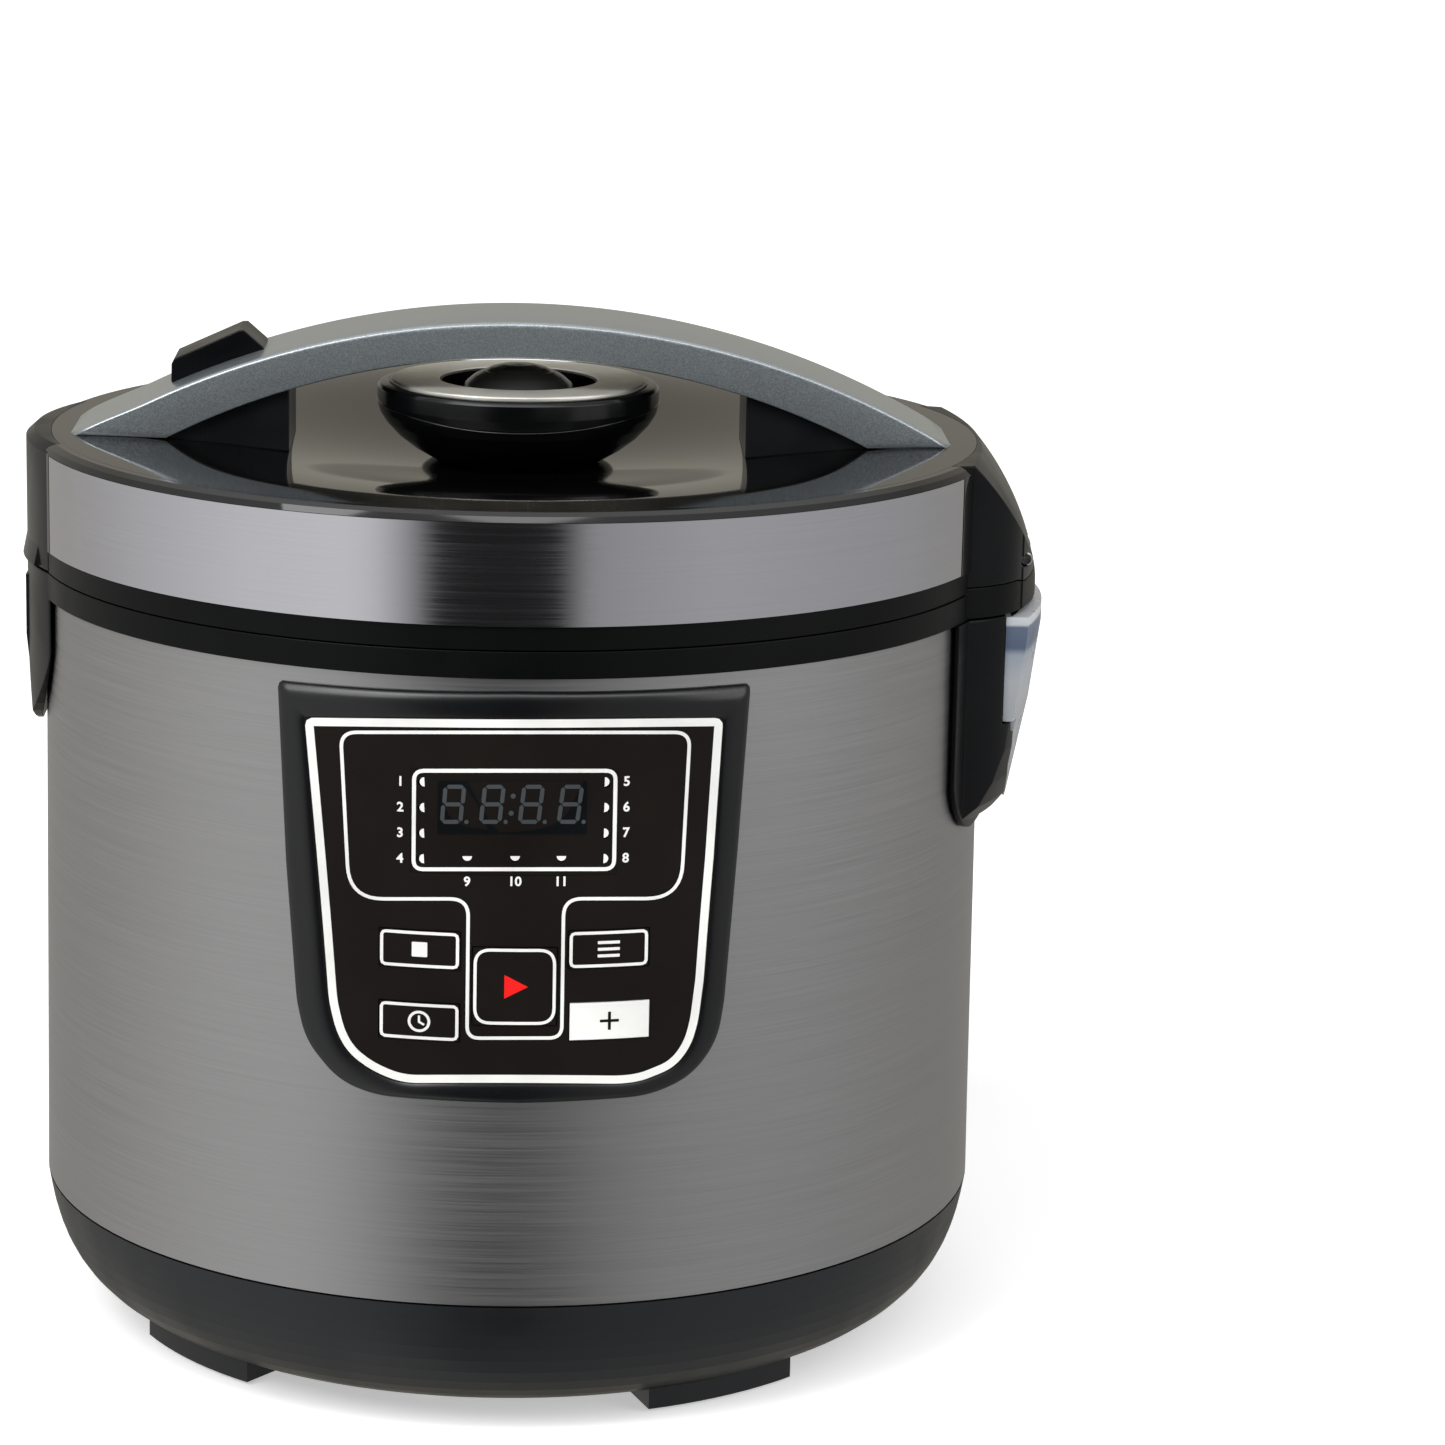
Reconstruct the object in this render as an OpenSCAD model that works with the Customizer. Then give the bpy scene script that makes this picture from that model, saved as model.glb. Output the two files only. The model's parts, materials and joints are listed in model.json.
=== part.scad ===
/* [Body] */
// Outer diameter of the steel body at its top edge
body_d = 280; // [260:1:300]
// Extra radius of the steel body at its lower edge
body_flare = 1.3; // [0:0.1:2]
// Height of the steel body's top edge above the floor
body_top = 222.5; // [215:0.5:235]
// Height of the steel sleeve itself
sleeve_h = 179.8; // [160:0.1:182]
// Thickness of the black ring that caps the body
ring_h = 7.5; // [6:0.1:8]

/* [Lid] */
// Outer radius of the steel lid band
band_r = 142.6; // [141:0.1:144]
// Height of the lid band's lower edge over the body's top
band_low = 14.4; // [12:0.1:16]
// Height of the lid band's upper edge over the body's top
band_high = 43.1; // [40:0.1:48]
// Height of the lid's flat rim over the body's top
lid_rim = 45.5; // [43:0.1:50]
// Depth of the dish in the lid's top
dish_depth = 9.9; // [4:0.1:12]
// How far the lid opens, in degrees

/* [Handle] */
// Radius of the handle's outer arch
arch_r = 248.5; // [240:0.5:260]
// Height of the arch's crest over the body's top
arch_top = 81; // [78:0.5:86]
// Radius of the handle's inner arch
under_r = 224; // [215:0.5:235]
// Height of the inner arch's crest over the body's top
under_top = 70.3; // [68:0.1:74]
// Front face of the handle, measured from the cooker's axis
handle_front = -26; // [-30:0.5:-22]
// Rear face of the handle, measured from the cooker's axis
handle_back = 19; // [16:0.5:26]
// Half width of the open grip under the arch
grip_half = 67; // [60:1:75]

/* [Inner pot] */
// Outer radius of the inner pot
pot_r = 111; // [105:0.5:112]
// Height of the inner pot with its rim
pot_h = 148; // [130:1:155]
// Wall of the inner pot
pot_wall = 1.6; // [1:0.1:2.5]

/* [Panel] */
// Half width of the control panel's frame at its top
panel_top_half = 65; // [60:0.5:70]
// Half width of the control panel's frame near its bottom
panel_low_half = 57.5; // [52:0.5:65]
// Height of the control panel's frame
panel_h = 116.5; // [100:0.5:125]

/* [Cord] */
// Diameter of the mains cord
cord_d = 6.8; // [6:0.1:8]

/* [Hidden] */
$fn = 96;

body_r = body_d / 2;
wall = 2.5;
sleeve_bottom = body_top - sleeve_h;
base_bottom = 2;
base_flat_r = 97;

// Hinge: the pin lies along Y near the outer skin of the housing
hinge_skin_r = 76;
hinge_skin_x = 80.3;
hinge_skin_z = -3.8;
hinge_bulge = 100;
hinge_outer = hinge_skin_x + hinge_skin_r;
block_r = 100.4;
block_x = hinge_outer - block_r;
block_half = 37.6;
corner_r = 30.1;
corner_x = 120.7;
corner_y = 26.5;
hinge_seam = 9.3;
flank_deg = 26;
pin_x = 150.2;
pin_z = body_top + 14.3;
pin_r = 2;
barrel_r = 5.6;
relief_r = 6;
ear_half_gap = 14;
ear_w = 8;
spring_room = 4.4;

// Latch column
latch_skin_r = 87;
latch_skin_x = -58.8;
latch_half = 40;
latch_outer = latch_skin_r - latch_skin_x;
latch_lip = 1.2;

// Condensate cup
cup_half = 43.5;
cup_low_half = 38.6;
cup_in = 143.9;
cup_in_low = 146.8;
cup_x = 36.1;
cup_r = 122.2;
cup_out_top = cup_x + cup_r;

// The cooker's axis is set so that the reach to each side of the origin is the same
axis_x = (latch_outer + latch_lip - cup_out_top) / 2;

// Release button on the handle
button_x = -89;
button_slope = asin(-button_x / arch_r);
button_z = body_top + arch_top - arch_r + arch_r * cos(button_slope);
button_front = -7.5;
button_back = 13.5;
button_half = 14.5;

plate_top = body_top + 5 - pot_h - 0.4;
liner_floor = plate_top - 15;
panel_top = body_top - 4.5;
panel_r = body_r + 2.4;
overlay_r = body_r + 1.7;
key_proud = 0.4;
foot_azimuths = [-51, 32, 129, 212];
foot_span = 24;

coil_y = 240;
coil_mean = 39;
coil_x = axis_x;
relief_z = 30;
relief_end = 158;
lead_route = [[0, 158, 30], [0, 161, 30], [0, 164, 30], [-1, 172.7, 29.4], [-3.9, 180.7, 27.6],
              [-8.4, 187.6, 24.7], [-14.4, 192.8, 21], [-21.3, 196, 16.8], [-28.2, 199.2, 12.5],
              [-34.2, 204.4, 8.8], [-38.7, 211.3, 5.9], [-41.6, 219.3, 4.1], [-42.6, 228, 3.5]];
tail_route = [[42.6, 236, 10.3], [42.6, 229.2, 10.3], [43.5, 222.2, 10.2], [46.2, 215.6, 10],
              [50.6, 210, 9.9], [56.2, 205.6, 9.8], [62.8, 202.9, 9.8], [69.8, 202, 9.9], [73.5, 202, 10],
              [77, 202, 10]];
plug_x = 126;
plug_y = 202;
plug_face = 28;
plug_face_r = 19.3;
plug_reach = plug_x - 77;
cord_lie = 9.9;

function arc_pts(cx, cy, r, a0, a1, n) =
    [for (i = [0:n]) [cx + r * cos(a0 + (a1 - a0) * i / n), cy + r * sin(a0 + (a1 - a0) * i / n)]];
function bez(a, b, c, d, t) =
    pow(1 - t, 3) * a + 3 * pow(1 - t, 2) * t * b + 3 * (1 - t) * t * t * c + pow(t, 3) * d;
function base_curve(inset) =
    [for (i = [0:12])
        bez([body_r + body_flare - inset, sleeve_bottom - 0.6], [138.6 - inset, sleeve_bottom - 18],
            [133.7 - inset, base_bottom + 2 + inset], [base_flat_r, base_bottom + inset], i / 12)];
function dish(r) = body_top + lid_rim - dish_depth * pow(1 - pow(min(r, 126) / 126, 2), 2.2);

module on_axis() {
    translate([axis_x, 0, 0]) children();
}

module tube(r_out, r_in, z0, z1) {
    difference() {
        translate([0, 0, z0]) cylinder(r = r_out, h = z1 - z0);
        translate([0, 0, z0 - 1]) cylinder(r = r_in, h = z1 - z0 + 2);
    }
}

// A wedge of plan, centred on the azimuth az (0 is the front, 90 is the hinge side)
module sector(az, half, z0, z1, r = 200) {
    translate([0, 0, z0])
        linear_extrude(z1 - z0)
            rotate([0, 0, az - 90])
                polygon([[0, 0], [r * cos(half), -r * sin(half)], [r, -r * tan(half / 2)],
                         [r, r * tan(half / 2)], [r * cos(half), r * sin(half)]]);
}

module coil_spring(r, wire, h, turns) {
    rotate_extrude()
        for (i = [0:turns - 1])
            translate([r, wire / 2 + i * (h - wire) / (turns - 1)]) circle(d = wire, $fn = 24);
    difference() {
        cylinder(r = r + wire * 0.2, h = h);
        translate([0, 0, -1]) cylinder(r = r - wire * 0.2, h = h + 2);
    }
}

module rounded_slab(x0, x1, y0, y1, r, z0, z1) {
    translate([0, 0, z0]) {
        translate([x0 + r, y0, 0]) cube([x1 - x0 - 2 * r, y1 - y0, z1 - z0]);
        translate([x0, y0 + r, 0]) cube([x1 - x0, y1 - y0 - 2 * r, z1 - z0]);
        for (x = [x0 + r, x1 - r], y = [y0 + r, y1 - r])
            translate([x, y, 0]) cylinder(r = r, h = z1 - z0);
    }
}

// Swept round tube through the points of a route
function unit(v) = v / norm(v);
function along(p, i) = unit(p[min(i + 1, len(p) - 1)] - p[max(i - 1, 0)]);
module swept_tube(p, d, sides = 10) {
    n = len(p);
    pts = [for (i = [0:n - 1]) let (t = along(p, i), u = unit(cross(t, [0.02, 0.05, 1])), v = cross(t, u))
           for (k = [0:sides - 1]) p[i] + d / 2 * (cos(360 * k / sides) * u + sin(360 * k / sides) * v)];
    ring = function (i, k) i * sides + k % sides;
    faces = concat([[for (k = [0:sides - 1]) k]],
                   [[for (k = [sides - 1:-1:0]) (n - 1) * sides + k]],
                   [for (i = [0:n - 2], k = [0:sides - 1]) [ring(i, k), ring(i + 1, k), ring(i + 1, k + 1)]],
                   [for (i = [0:n - 2], k = [0:sides - 1]) [ring(i, k), ring(i + 1, k + 1), ring(i, k + 1)]]);
    polyhedron(pts, faces);
}

// ---------- base ----------
module base_shell() {
    outer = base_curve(0);
    inner = base_curve(wall);
    color("#1b1c1f") on_axis() difference() {
        union() {
            rotate_extrude()
                polygon(concat(outer, [[0, base_bottom], [0, base_bottom + wall]],
                               [for (i = [12:-1:0]) inner[i]]));
            for (az = foot_azimuths)
                intersection() {
                    tube(120, 98, 1, 12);
                    sector(az, foot_span / 2, 0, 14);
                }
            for (az = foot_azimuths)
                rotate([0, 0, az + 45]) translate([100, 0, base_bottom + 0.5]) cylinder(r = 5, h = 20);
        }
        for (az = foot_azimuths)
            intersection() {
                tube(116.3, 103.7, -1, 3.3);
                sector(az, foot_span / 2 - 2.6, -2, 5);
            }
        for (az = foot_azimuths)
            rotate([0, 0, az + 45]) translate([100, 0, 0]) {
                translate([0, 0, -1]) cylinder(r = 3.6, h = 6);
                cylinder(r = 1.5, h = 30);
            }
        for (i = [-3:3], side = [-1, 1])
            translate([side * 42, i * 12, 0]) translate([-22, -2, -1]) cube([44, 4, 8]);
        translate([0, 100, relief_z]) rotate([-90, 0, 0]) cylinder(r = 5.3, h = 60);
    }
}

module foot_pads() {
    color("#101012") on_axis()
        for (az = foot_azimuths)
            intersection() {
                tube(116.2, 103.8, 0, 3.3);
                sector(az, foot_span / 2 - 2.65, -1, 5);
            }
}

module base_screws() {
    color("#8f9194") on_axis()
        for (az = foot_azimuths)
            rotate([0, 0, az + 45]) translate([100, 0, 0])
                difference() {
                    union() {
                        translate([0, 0, 3.4]) cylinder(r = 3.4, h = 1.6);
                        translate([0, 0, 4]) cylinder(r = 1.45, h = 20);
                    }
                    translate([-0.5, -2, 3]) cube([1, 4, 1.2]);
                    translate([-2, -0.5, 3]) cube([4, 1, 1.2]);
                }
}

// ---------- body ----------
module steel_sleeve() {
    color("#8d8f92") on_axis() difference() {
        rotate_extrude()
            polygon([[body_r + body_flare - 1, sleeve_bottom], [body_r + body_flare, sleeve_bottom],
                     [body_r, body_top - 0.1], [body_r - 1, body_top - 0.1]]);
        translate([-46, -160, body_top - 113]) cube([92, 60, 98]);
        translate([-160, -10.5, body_top - 15]) cube([60, 21, 16]);
    }
}

// Plan of the hinge block: a curved outer face between two round corners
module block_plan(inset) {
    intersection() {
        translate([block_x, 0]) circle(r = block_r - inset);
        union() {
            for (side = [-1, 1]) translate([corner_x, side * corner_y]) circle(r = corner_r - inset);
            translate([96, -block_half + inset / 3]) square([70, 2 * block_half - inset * 2 / 3]);
            translate([96, -corner_y - corner_r + inset])
                square([corner_x - 96, 2 * (corner_y + corner_r - inset)]);
        }
    }
}

// The outer skin of the hinge block: an arch seen from the front, bulging in plan
module hinge_skin(inset, z0, z1) {
    intersection() {
        translate([0, 0, z0]) linear_extrude(z1 - z0) block_plan(inset);
        translate([-hinge_bulge, 0, 0]) rotate_extrude()
            intersection() {
                translate([hinge_bulge + hinge_skin_x, body_top + hinge_skin_z])
                    circle(r = hinge_skin_r - inset);
                translate([hinge_bulge + 96, z0]) square([80, z1 - z0]);
            }
    }
}

module hinge_axis_rod(r, y0, y1) {
    translate([pin_x, y0, pin_z]) rotate([-90, 0, 0]) cylinder(r = r, h = y1 - y0);
}

module ear_spans() {
    for (side = [-1, 1]) translate([0, side * (ear_half_gap + ear_w / 2), 0]) children();
}

module body_ring() {
    color("#222326") on_axis() difference() {
        union() {
            tube(band_r - 0.6, 121.5, body_top, body_top + ring_h);
            tube(138.6, 132, body_top - 8, body_top + 1);
            tube(124, 114.8, body_top - 1.6, body_top + 1.6);
            difference() {
                union() {
                    hinge_skin(0, body_top + 0.4, body_top + hinge_seam);
                    intersection() {
                        hinge_skin(0, body_top + 0.4, body_top + 12.5);
                        translate([pin_x, -60, body_top]) cube([20, 120, 20]);
                    }
                }
                translate([0, 0, body_top - 1]) cylinder(r = 121.5, h = 20);
            }
            intersection() {
                hinge_skin(0.3, body_top + 3, body_top + 24);
                ear_spans() {
                    translate([0, -ear_w / 2, 0]) hinge_axis_rod(barrel_r - 0.3, 0, ear_w);
                    translate([pin_x - 4.8, -ear_w / 2, body_top + 4]) cube([9.6, ear_w, 10.3]);
                }
            }
        }
        // concave seat for the lid's hinge barrel
        difference() {
            hinge_axis_rod(relief_r, -60, 60);
            ear_spans() translate([100, -ear_w / 2, body_top]) cube([80, ear_w, 40]);
        }
        hinge_axis_rod(pin_r + 0.05, -60, 60);
        // slot for the latch hook
        translate([-147.2, -11, body_top - 20]) cube([12, 22, 40]);
        // thumb relief in the ring under the latch lip
        translate([0, 0, body_top - 1]) difference() {
            sector(-90, 16.6, 0, 20);
            translate([0, 0, -1]) cylinder(r = 137, h = 30);
        }
    }
}

module hinge_housing() {
    low = body_top - 64;
    color("#1d1e21") on_axis() difference() {
        intersection() {
            union() {
                intersection() {
                    translate([0, 0, low]) cylinder(r = band_r, h = 63.7);
                    sector(90, flank_deg, low - 1, body_top + 1);
                }
                intersection() {
                    translate([0, 0, low]) linear_extrude(63.7) block_plan(0);
                    translate([block_x, 0, body_top]) rotate_extrude()
                        polygon([[60, -0.3], [block_r, -0.3], [block_r - 0.2, -20], [block_r - 1, -41],
                                 [block_r - 2.4, -50], [block_r - 4.4, -56.5], [block_r - 8, -61], [block_r - 13, -64], [60, -64]]);
                }
            }
            // lower end with rounded corners
            rotate([90, 0, 90]) linear_extrude(200) {
                for (side = [-1, 1]) translate([side * 44, low + 18.5]) circle(r = 18.5);
                translate([-44, low]) square([88, 64]);
                translate([-62.5, low + 18.5]) square([125, 50]);
            }
        }
        translate([0, 0, low - 3]) cylinder(r = body_r + body_flare + 0.15, h = 90);
        // pocket that takes the condensate cup
        translate([cup_in - 0.5, -60, body_top - 33]) cube([20, 120, 40]);
        translate([cup_in_low - 0.4, -cup_low_half - 0.4, body_top - 60])
            cube([20, 2 * cup_low_half + 0.8, 60]);
        for (side = [-1, 1]) translate([cup_in_low - 0.4, side * (cup_low_half + 0.4), body_top - 33])
            rotate([0, 90, 0]) cylinder(r = 3.5, h = 20);
    }
}

module condensate_cup() {
    top = body_top - 1.2;
    color([0.62, 0.66, 0.71, 0.6]) on_axis() difference() {
        intersection() {
            translate([cup_x, 0, body_top]) rotate_extrude()
                polygon([[60, -59], [cup_r - 8.6, -59.6], [cup_r - 6.4, -48], [cup_r - 2.9, -30], [cup_r, -7],
                         [cup_r, -1.2], [60, -1.2]]);
            union() {
                translate([cup_in_low, -cup_low_half, body_top - 59.8]) cube([30, 2 * cup_low_half, 58]);
                translate([cup_in, -cup_half, body_top - 32.6]) cube([30, 2 * cup_half, 31.4]);
            }
        }
        cup_cavity(cup_in_low + 1.5, cup_low_half - 1.6, -57, 8.2);
        cup_cavity(cup_in_low + 1.5, cup_low_half - 1.6, -46, 6);
        cup_cavity(cup_in + 1.6, cup_half - 1.6, -30.4, 3.2);
    }
}

// One step of the hollow in the cup, down to z, its outer wall set in from the rim of the cup
module cup_cavity(from_x, half, z, set_in) {
    translate([0, 0, body_top + z]) linear_extrude(80)
        intersection() {
            translate([cup_x, 0]) circle(r = cup_r - set_in - 1.6);
            translate([from_x, -half]) square([30, 2 * half]);
        }
}

module latch_plan(z0, z1, half) {
    intersection() {
        translate([latch_skin_x, 0, z0]) cylinder(r = latch_skin_r, h = z1 - z0);
        translate([-160, -half, z0]) cube([40, 2 * half, z1 - z0]);
    }
}

module latch_column() {
    low = body_top - 43.5;
    color("#1d1e21") on_axis() difference() {
        intersection() {
            union() {
                latch_plan(low, body_top + ring_h - 0.2, latch_half + 4.5);
                translate([-145.4, -14, body_top - 24]) cube([4, 28, 26]);
            }
            // tongue-shaped lower end, seen from the side
            translate([-165, 0, 0]) rotate([90, 0, 90]) linear_extrude(60)
                polygon(concat(arc_pts(0, body_top + 1.5, 45, 180, 360, 24),
                               [[45, body_top + 20], [-45, body_top + 20]]));
            // lower end runs back into the body
            translate([0, 60, 0]) rotate([90, 0, 0]) linear_extrude(120)
                polygon([[-140, low - 1], [-142.3, low + 1], [-143.2, body_top - 36], [-144.6, body_top - 24],
                         [-145.4, body_top - 16], [-145.4, body_top + 20], [-120, body_top + 20],
                         [-120, low - 1]]);
        }
        translate([0, 0, low - 1]) cylinder(r = body_r + body_flare + 0.15, h = body_top - low + 1.4);
        translate([0, 0, body_top]) cylinder(r = 137, h = 20);
        translate([0, 0, body_top - 0.05]) difference() {
            cylinder(r = band_r - 0.5, h = 20);
            sector(-90, 16.5, -1, 30);
        }
        // slot for the latch hook
        translate([-145.2, -11, body_top - 16]) cube([20, 22, 40]);
    }
}

module latch_catch() {
    color("#a9abad") on_axis() {
        translate([-145.2, -9.6, body_top - 15.6]) cube([0.9, 19.2, 12]);
        translate([-145.2, -9.6, body_top - 4.8]) cube([2.6, 19.2, 1.2]);
    }
}

module hinge_pin() {
    color("#b9bbbd") on_axis() hinge_axis_rod(pin_r, -40, 40);
}

module hinge_spring() {
    color("#9a9c9f") on_axis()
        translate([pin_x, -11, pin_z]) rotate([-90, 0, 0]) coil_spring(3.2, 1.2, 22, 14);
}

// ---------- inner vessel and heating ----------
module inner_liner() {
    r = pot_r + 3.2;
    color("#b4b6b8") on_axis() difference() {
        rotate_extrude()
            polygon([[5.8, liner_floor], [r - 6, liner_floor], [r, liner_floor + 6], [r, body_top - 3.2],
                     [131.6, body_top - 3.2], [131.6, body_top - 2], [r - 1, body_top - 2],
                     [r - 1, liner_floor + 6.5], [r - 6.5, liner_floor + 1], [5.8, liner_floor + 1]]);
        for (a = [30, 150, 270])
            rotate([0, 0, a]) translate([82, 0, liner_floor - 2]) cylinder(r = 2.1, h = 6);
        for (x = [-50, 50]) translate([x, 20, liner_floor - 2]) cylinder(r = 5, h = 6);
    }
}

module heating_plate() {
    color("#a6a8aa") on_axis() difference() {
        union() {
            rotate_extrude()
                polygon([[18, plate_top - 4], [98, plate_top - 4], [100, plate_top - 2], [92, plate_top - 0.2],
                         [60, plate_top], [18, plate_top]]);
            translate([0, 0, plate_top - 6.5])
                rotate_extrude() translate([70, 0]) circle(r = 4, $fn = 48);
        }
        for (a = [30, 150, 270])
            rotate([0, 0, a]) translate([82, 0, plate_top - 8]) cylinder(r = 1.8, h = 6);
    }
}

module plate_posts() {
    color("#7d7f82") on_axis()
        for (a = [30, 150, 270])
            rotate([0, 0, a]) translate([82, 0, 0]) {
                translate([0, 0, liner_floor + 1]) cylinder(r = 4, h = plate_top - 4 - liner_floor - 1);
                translate([0, 0, liner_floor - 6]) cylinder(r = 2.05, h = 8);
                translate([0, 0, plate_top - 4.5]) cylinder(r = 1.75, h = 2.4);
            }
}

module inner_pot() {
    low = plate_top + 0.4;
    color("#55575a") on_axis()
        rotate_extrude()
            polygon(concat([[0, low]], arc_pts(pot_r - 12, low + 12, 12, -90, 0, 8),
                           [[pot_r, body_top + 3.2], [119, body_top + 3.2], [119.6, body_top + 4.1],
                            [119, body_top + 5], [pot_r - pot_wall, body_top + 5]],
                           arc_pts(pot_r - 12, low + 12, 12 - pot_wall, 0, -90, 8), [[0, low + pot_wall]]));
}

module pot_sensor() {
    color("#c0c2c4") on_axis() {
        translate([0, 0, plate_top - 9]) cylinder(r = 15, h = 9);
        translate([0, 0, liner_floor - 12]) cylinder(r = 5.75, h = plate_top - 8 - liner_floor + 12);
    }
}

module sensor_spring() {
    color("#9a9c9f") on_axis()
        translate([0, 0, liner_floor + 1.1]) coil_spring(9, 1.2, plate_top - 9 - liner_floor - 1.3, 3);
}

module thermal_fuse() {
    color("#d8d4c8") on_axis() translate([44, -8, plate_top - 8.2]) {
        translate([0, 0, 0]) rotate([-90, 0, 0]) cylinder(r = 2.2, h = 16);
        translate([-3, 5, -0.2]) cube([6, 6, 4.3]);
    }
}

module power_board() {
    color("#2f6b46") on_axis() translate([-45, -45, 14]) {
        cube([80, 60, 1.6]);
        translate([8, 8, 1.5]) cube([24, 20, 16]);
        translate([40, 10, 1.5]) cube([19, 15.5, 15]);
        translate([66, 14, 1.5]) cylinder(r = 5, h = 16);
        translate([14, 44, 1.5]) cylinder(r = 6, h = 9);
        translate([40, 38, 1.5]) cube([26, 14, 12]);
        for (x = [4, 76], y = [4, 56]) translate([x, y, -9.4]) cylinder(r = 3, h = 9.5);
    }
}

module terminal_block() {
    color("#d9d6cc") on_axis() translate([-17, 74, 4.6]) difference() {
        cube([34, 16, 17]);
        for (i = [0:2]) translate([6 + 11 * i, 8, 8]) cylinder(r = 2.6, h = 10);
    }
}

// ---------- control panel ----------
// Outline of the panel in the X Z plane, z measured down from the panel's top edge
function panel_outline(top_half, low_half, h, rc) =
    concat([[-top_half, 0], [-low_half, -h + rc + 4]],
           arc_pts(-low_half + rc, -h + rc + 4, rc, 190, 255, 7),
           [[-14, -h + 0.2], [14, -h + 0.2]],
           arc_pts(low_half - rc, -h + rc + 4, rc, 285, 350, 7),
           [[low_half, -h + rc + 4], [top_half, 0]]);

// The steel sleeve flares, so the panel's back has one step half way down
module on_panel(r_in, r_out) {
    intersection() {
        union() {
            tube(r_out, r_in + 0.5, body_top - 130, body_top - 55);
            tube(r_out, r_in, body_top - 60, body_top);
        }
        translate([0, 0, body_top]) rotate([90, 0, 0]) linear_extrude(200) children();
    }
}

module panel_holes(grow) {
    for (k = key_places) translate([k[0] - k[2] / 2 - grow, k[1] - k[3] / 2 - grow])
        square([k[2] + 2 * grow, k[3] + 2 * grow]);
}

// Centre x, centre z below the body's top, width and height of each key
key_places = [[-25.3, -76.8, 22, 10.5], [-25.3, -97.4, 22, 10.5], [26.7, -76.2, 22, 10.5],
              [27.2, -96.8, 22, 10.5], [0.9, -86.6, 23, 22]];
window_box = [-28, -55, 56.4, 29.3];
lens_places = concat([for (x = [-25.2, 25.4], i = [0:3]) [x, -29.6 - 7.15 * i]],
                     [for (x = [-12.6, 0.5, 13.2]) [x, -50.4]]);

module panel_bezel() {
    color("#17181a") on_axis() difference() {
        on_panel(body_r + 0.5, panel_r)
            difference() {
                translate([0, panel_top - body_top])
                    polygon(panel_outline(panel_top_half, panel_low_half, panel_h, 21));
                translate([0, -13.4]) polygon(panel_outline(57.3, 50.6, 101.8, 14));
            }
    }
}

module panel_overlay() {
    color("#2a2422") on_axis() difference() {
        union() {
            on_panel(body_r + 0.5, overlay_r)
                translate([0, -13.5]) polygon(panel_outline(57.2, 50.5, 101.5, 14));
        }
        translate([0, 0, body_top]) rotate([90, 0, 0]) linear_extrude(200) {
            panel_holes(0.3);
            translate([window_box[0], window_box[1]]) square([window_box[2], window_box[3]]);
        }
    }
}

module display_window() {
    color([0.1, 0.09, 0.1, 0.75]) on_axis()
        on_panel(body_r - 1.1, overlay_r + 0.1)
            difference() {
                translate([window_box[0] + 0.1, window_box[1] + 0.1])
                    square([window_box[2] - 0.2, window_box[3] - 0.2]);
                for (p = lens_places) translate(p) circle(r = 0.95);
            }
}

module display_module() {
    color("#0c0c0d") on_axis() {
        translate([-21, -134.6, body_top - 45]) cube([42, 5, 17]);
        translate([-24, -131, body_top - 49]) cube([48, 3.4, 25]);
    }
}

module indicator_lenses() {
    color("#e8e8e6") on_axis()
        on_panel(body_r - 2, overlay_r + 0.2)
            for (p = lens_places) translate(p) circle(r = 0.9);
}

module control_board() {
    color("#2f6b46") on_axis() {
        translate([-42, -127.4, body_top - 108]) cube([84, 1.6, 88]);
        for (x = [-38, 38], z = [-104, -24])
            translate([x, -125.9, body_top + z]) rotate([-90, 0, 0]) cylinder(r = 3, h = 4);
    }
}

module key_switches() {
    color("#b8b9bb") on_axis()
        for (k = key_places) translate([k[0], 0, body_top + k[1]]) {
            translate([-3, -130.6, -3]) cube([6, 3.2, 6]);
            translate([0, -130.4, 0]) rotate([90, 0, 0]) cylinder(r = 1.7, h = 1.4);
        }
}

module key(i) {
    k = key_places[i];
    on_axis() {
        intersection() {
            tube(overlay_r + key_proud, body_r - 1.4, body_top - 120, body_top - 50);
            translate([k[0] - k[2] / 2, -160, body_top + k[1] - k[3] / 2]) cube([k[2], 60, k[3]]);
        }
        intersection() {
            translate([k[0] - 2, -body_r, body_top + k[1] - 2]) cube([4, 7.2, 4]);
            translate([0, 0, body_top - 120]) cylinder(r = body_r - 0.5, h = 80);
        }
    }
}

module key_upper_left() { color("#2a2422") key(0); }
module key_lower_left() { color("#2a2422") key(1); }
module key_upper_right() { color("#2a2422") key(2); }
module key_lower_right() { color("#f2f2f0") key(3); }
module key_start() { color("#2a2422") key(4); }

// ---------- mains cord ----------
module strain_relief() {
    color("#17181a") on_axis() translate([0, 0, relief_z]) rotate([-90, 0, 0]) difference() {
        union() {
            translate([0, 0, 131]) cylinder(r = 5.25, h = 12);
            translate([0, 0, 140.9]) cylinder(r = 7, h = 2.4);
            translate([0, 0, 143.2]) cylinder(r1 = 5.6, r2 = 4.4, h = relief_end - 143.2);
            translate([0, 0, 130.3]) cylinder(r = 6.4, h = 2.2);
        }
        for (i = [0:3])
            translate([0, 0, 145.4 + 3 * i]) difference() {
                cylinder(r = 8, h = 1.2);
                translate([0, 0, -1]) cylinder(r = 3.9, h = 4);
            }
    }
}

module cord_lead() {
    color("#1a1b1d") on_axis() swept_tube(lead_route, cord_d);
}

module cord_coil() {
    color("#1a1b1d") translate([coil_x, coil_y, 0.1])
        rotate_extrude() translate([coil_mean - 7, 0]) square([14, 13.8]);
}

module cord_tie() {
    color("#2b2c2f") translate([coil_x - coil_mean, coil_y, 0]) difference() {
        translate([-8.3, -4, 0]) cube([16.6, 8, 15.2]);
        translate([-7.05, -5, 0.05]) cube([14.4, 10, 13.9]);
    }
}

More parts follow.
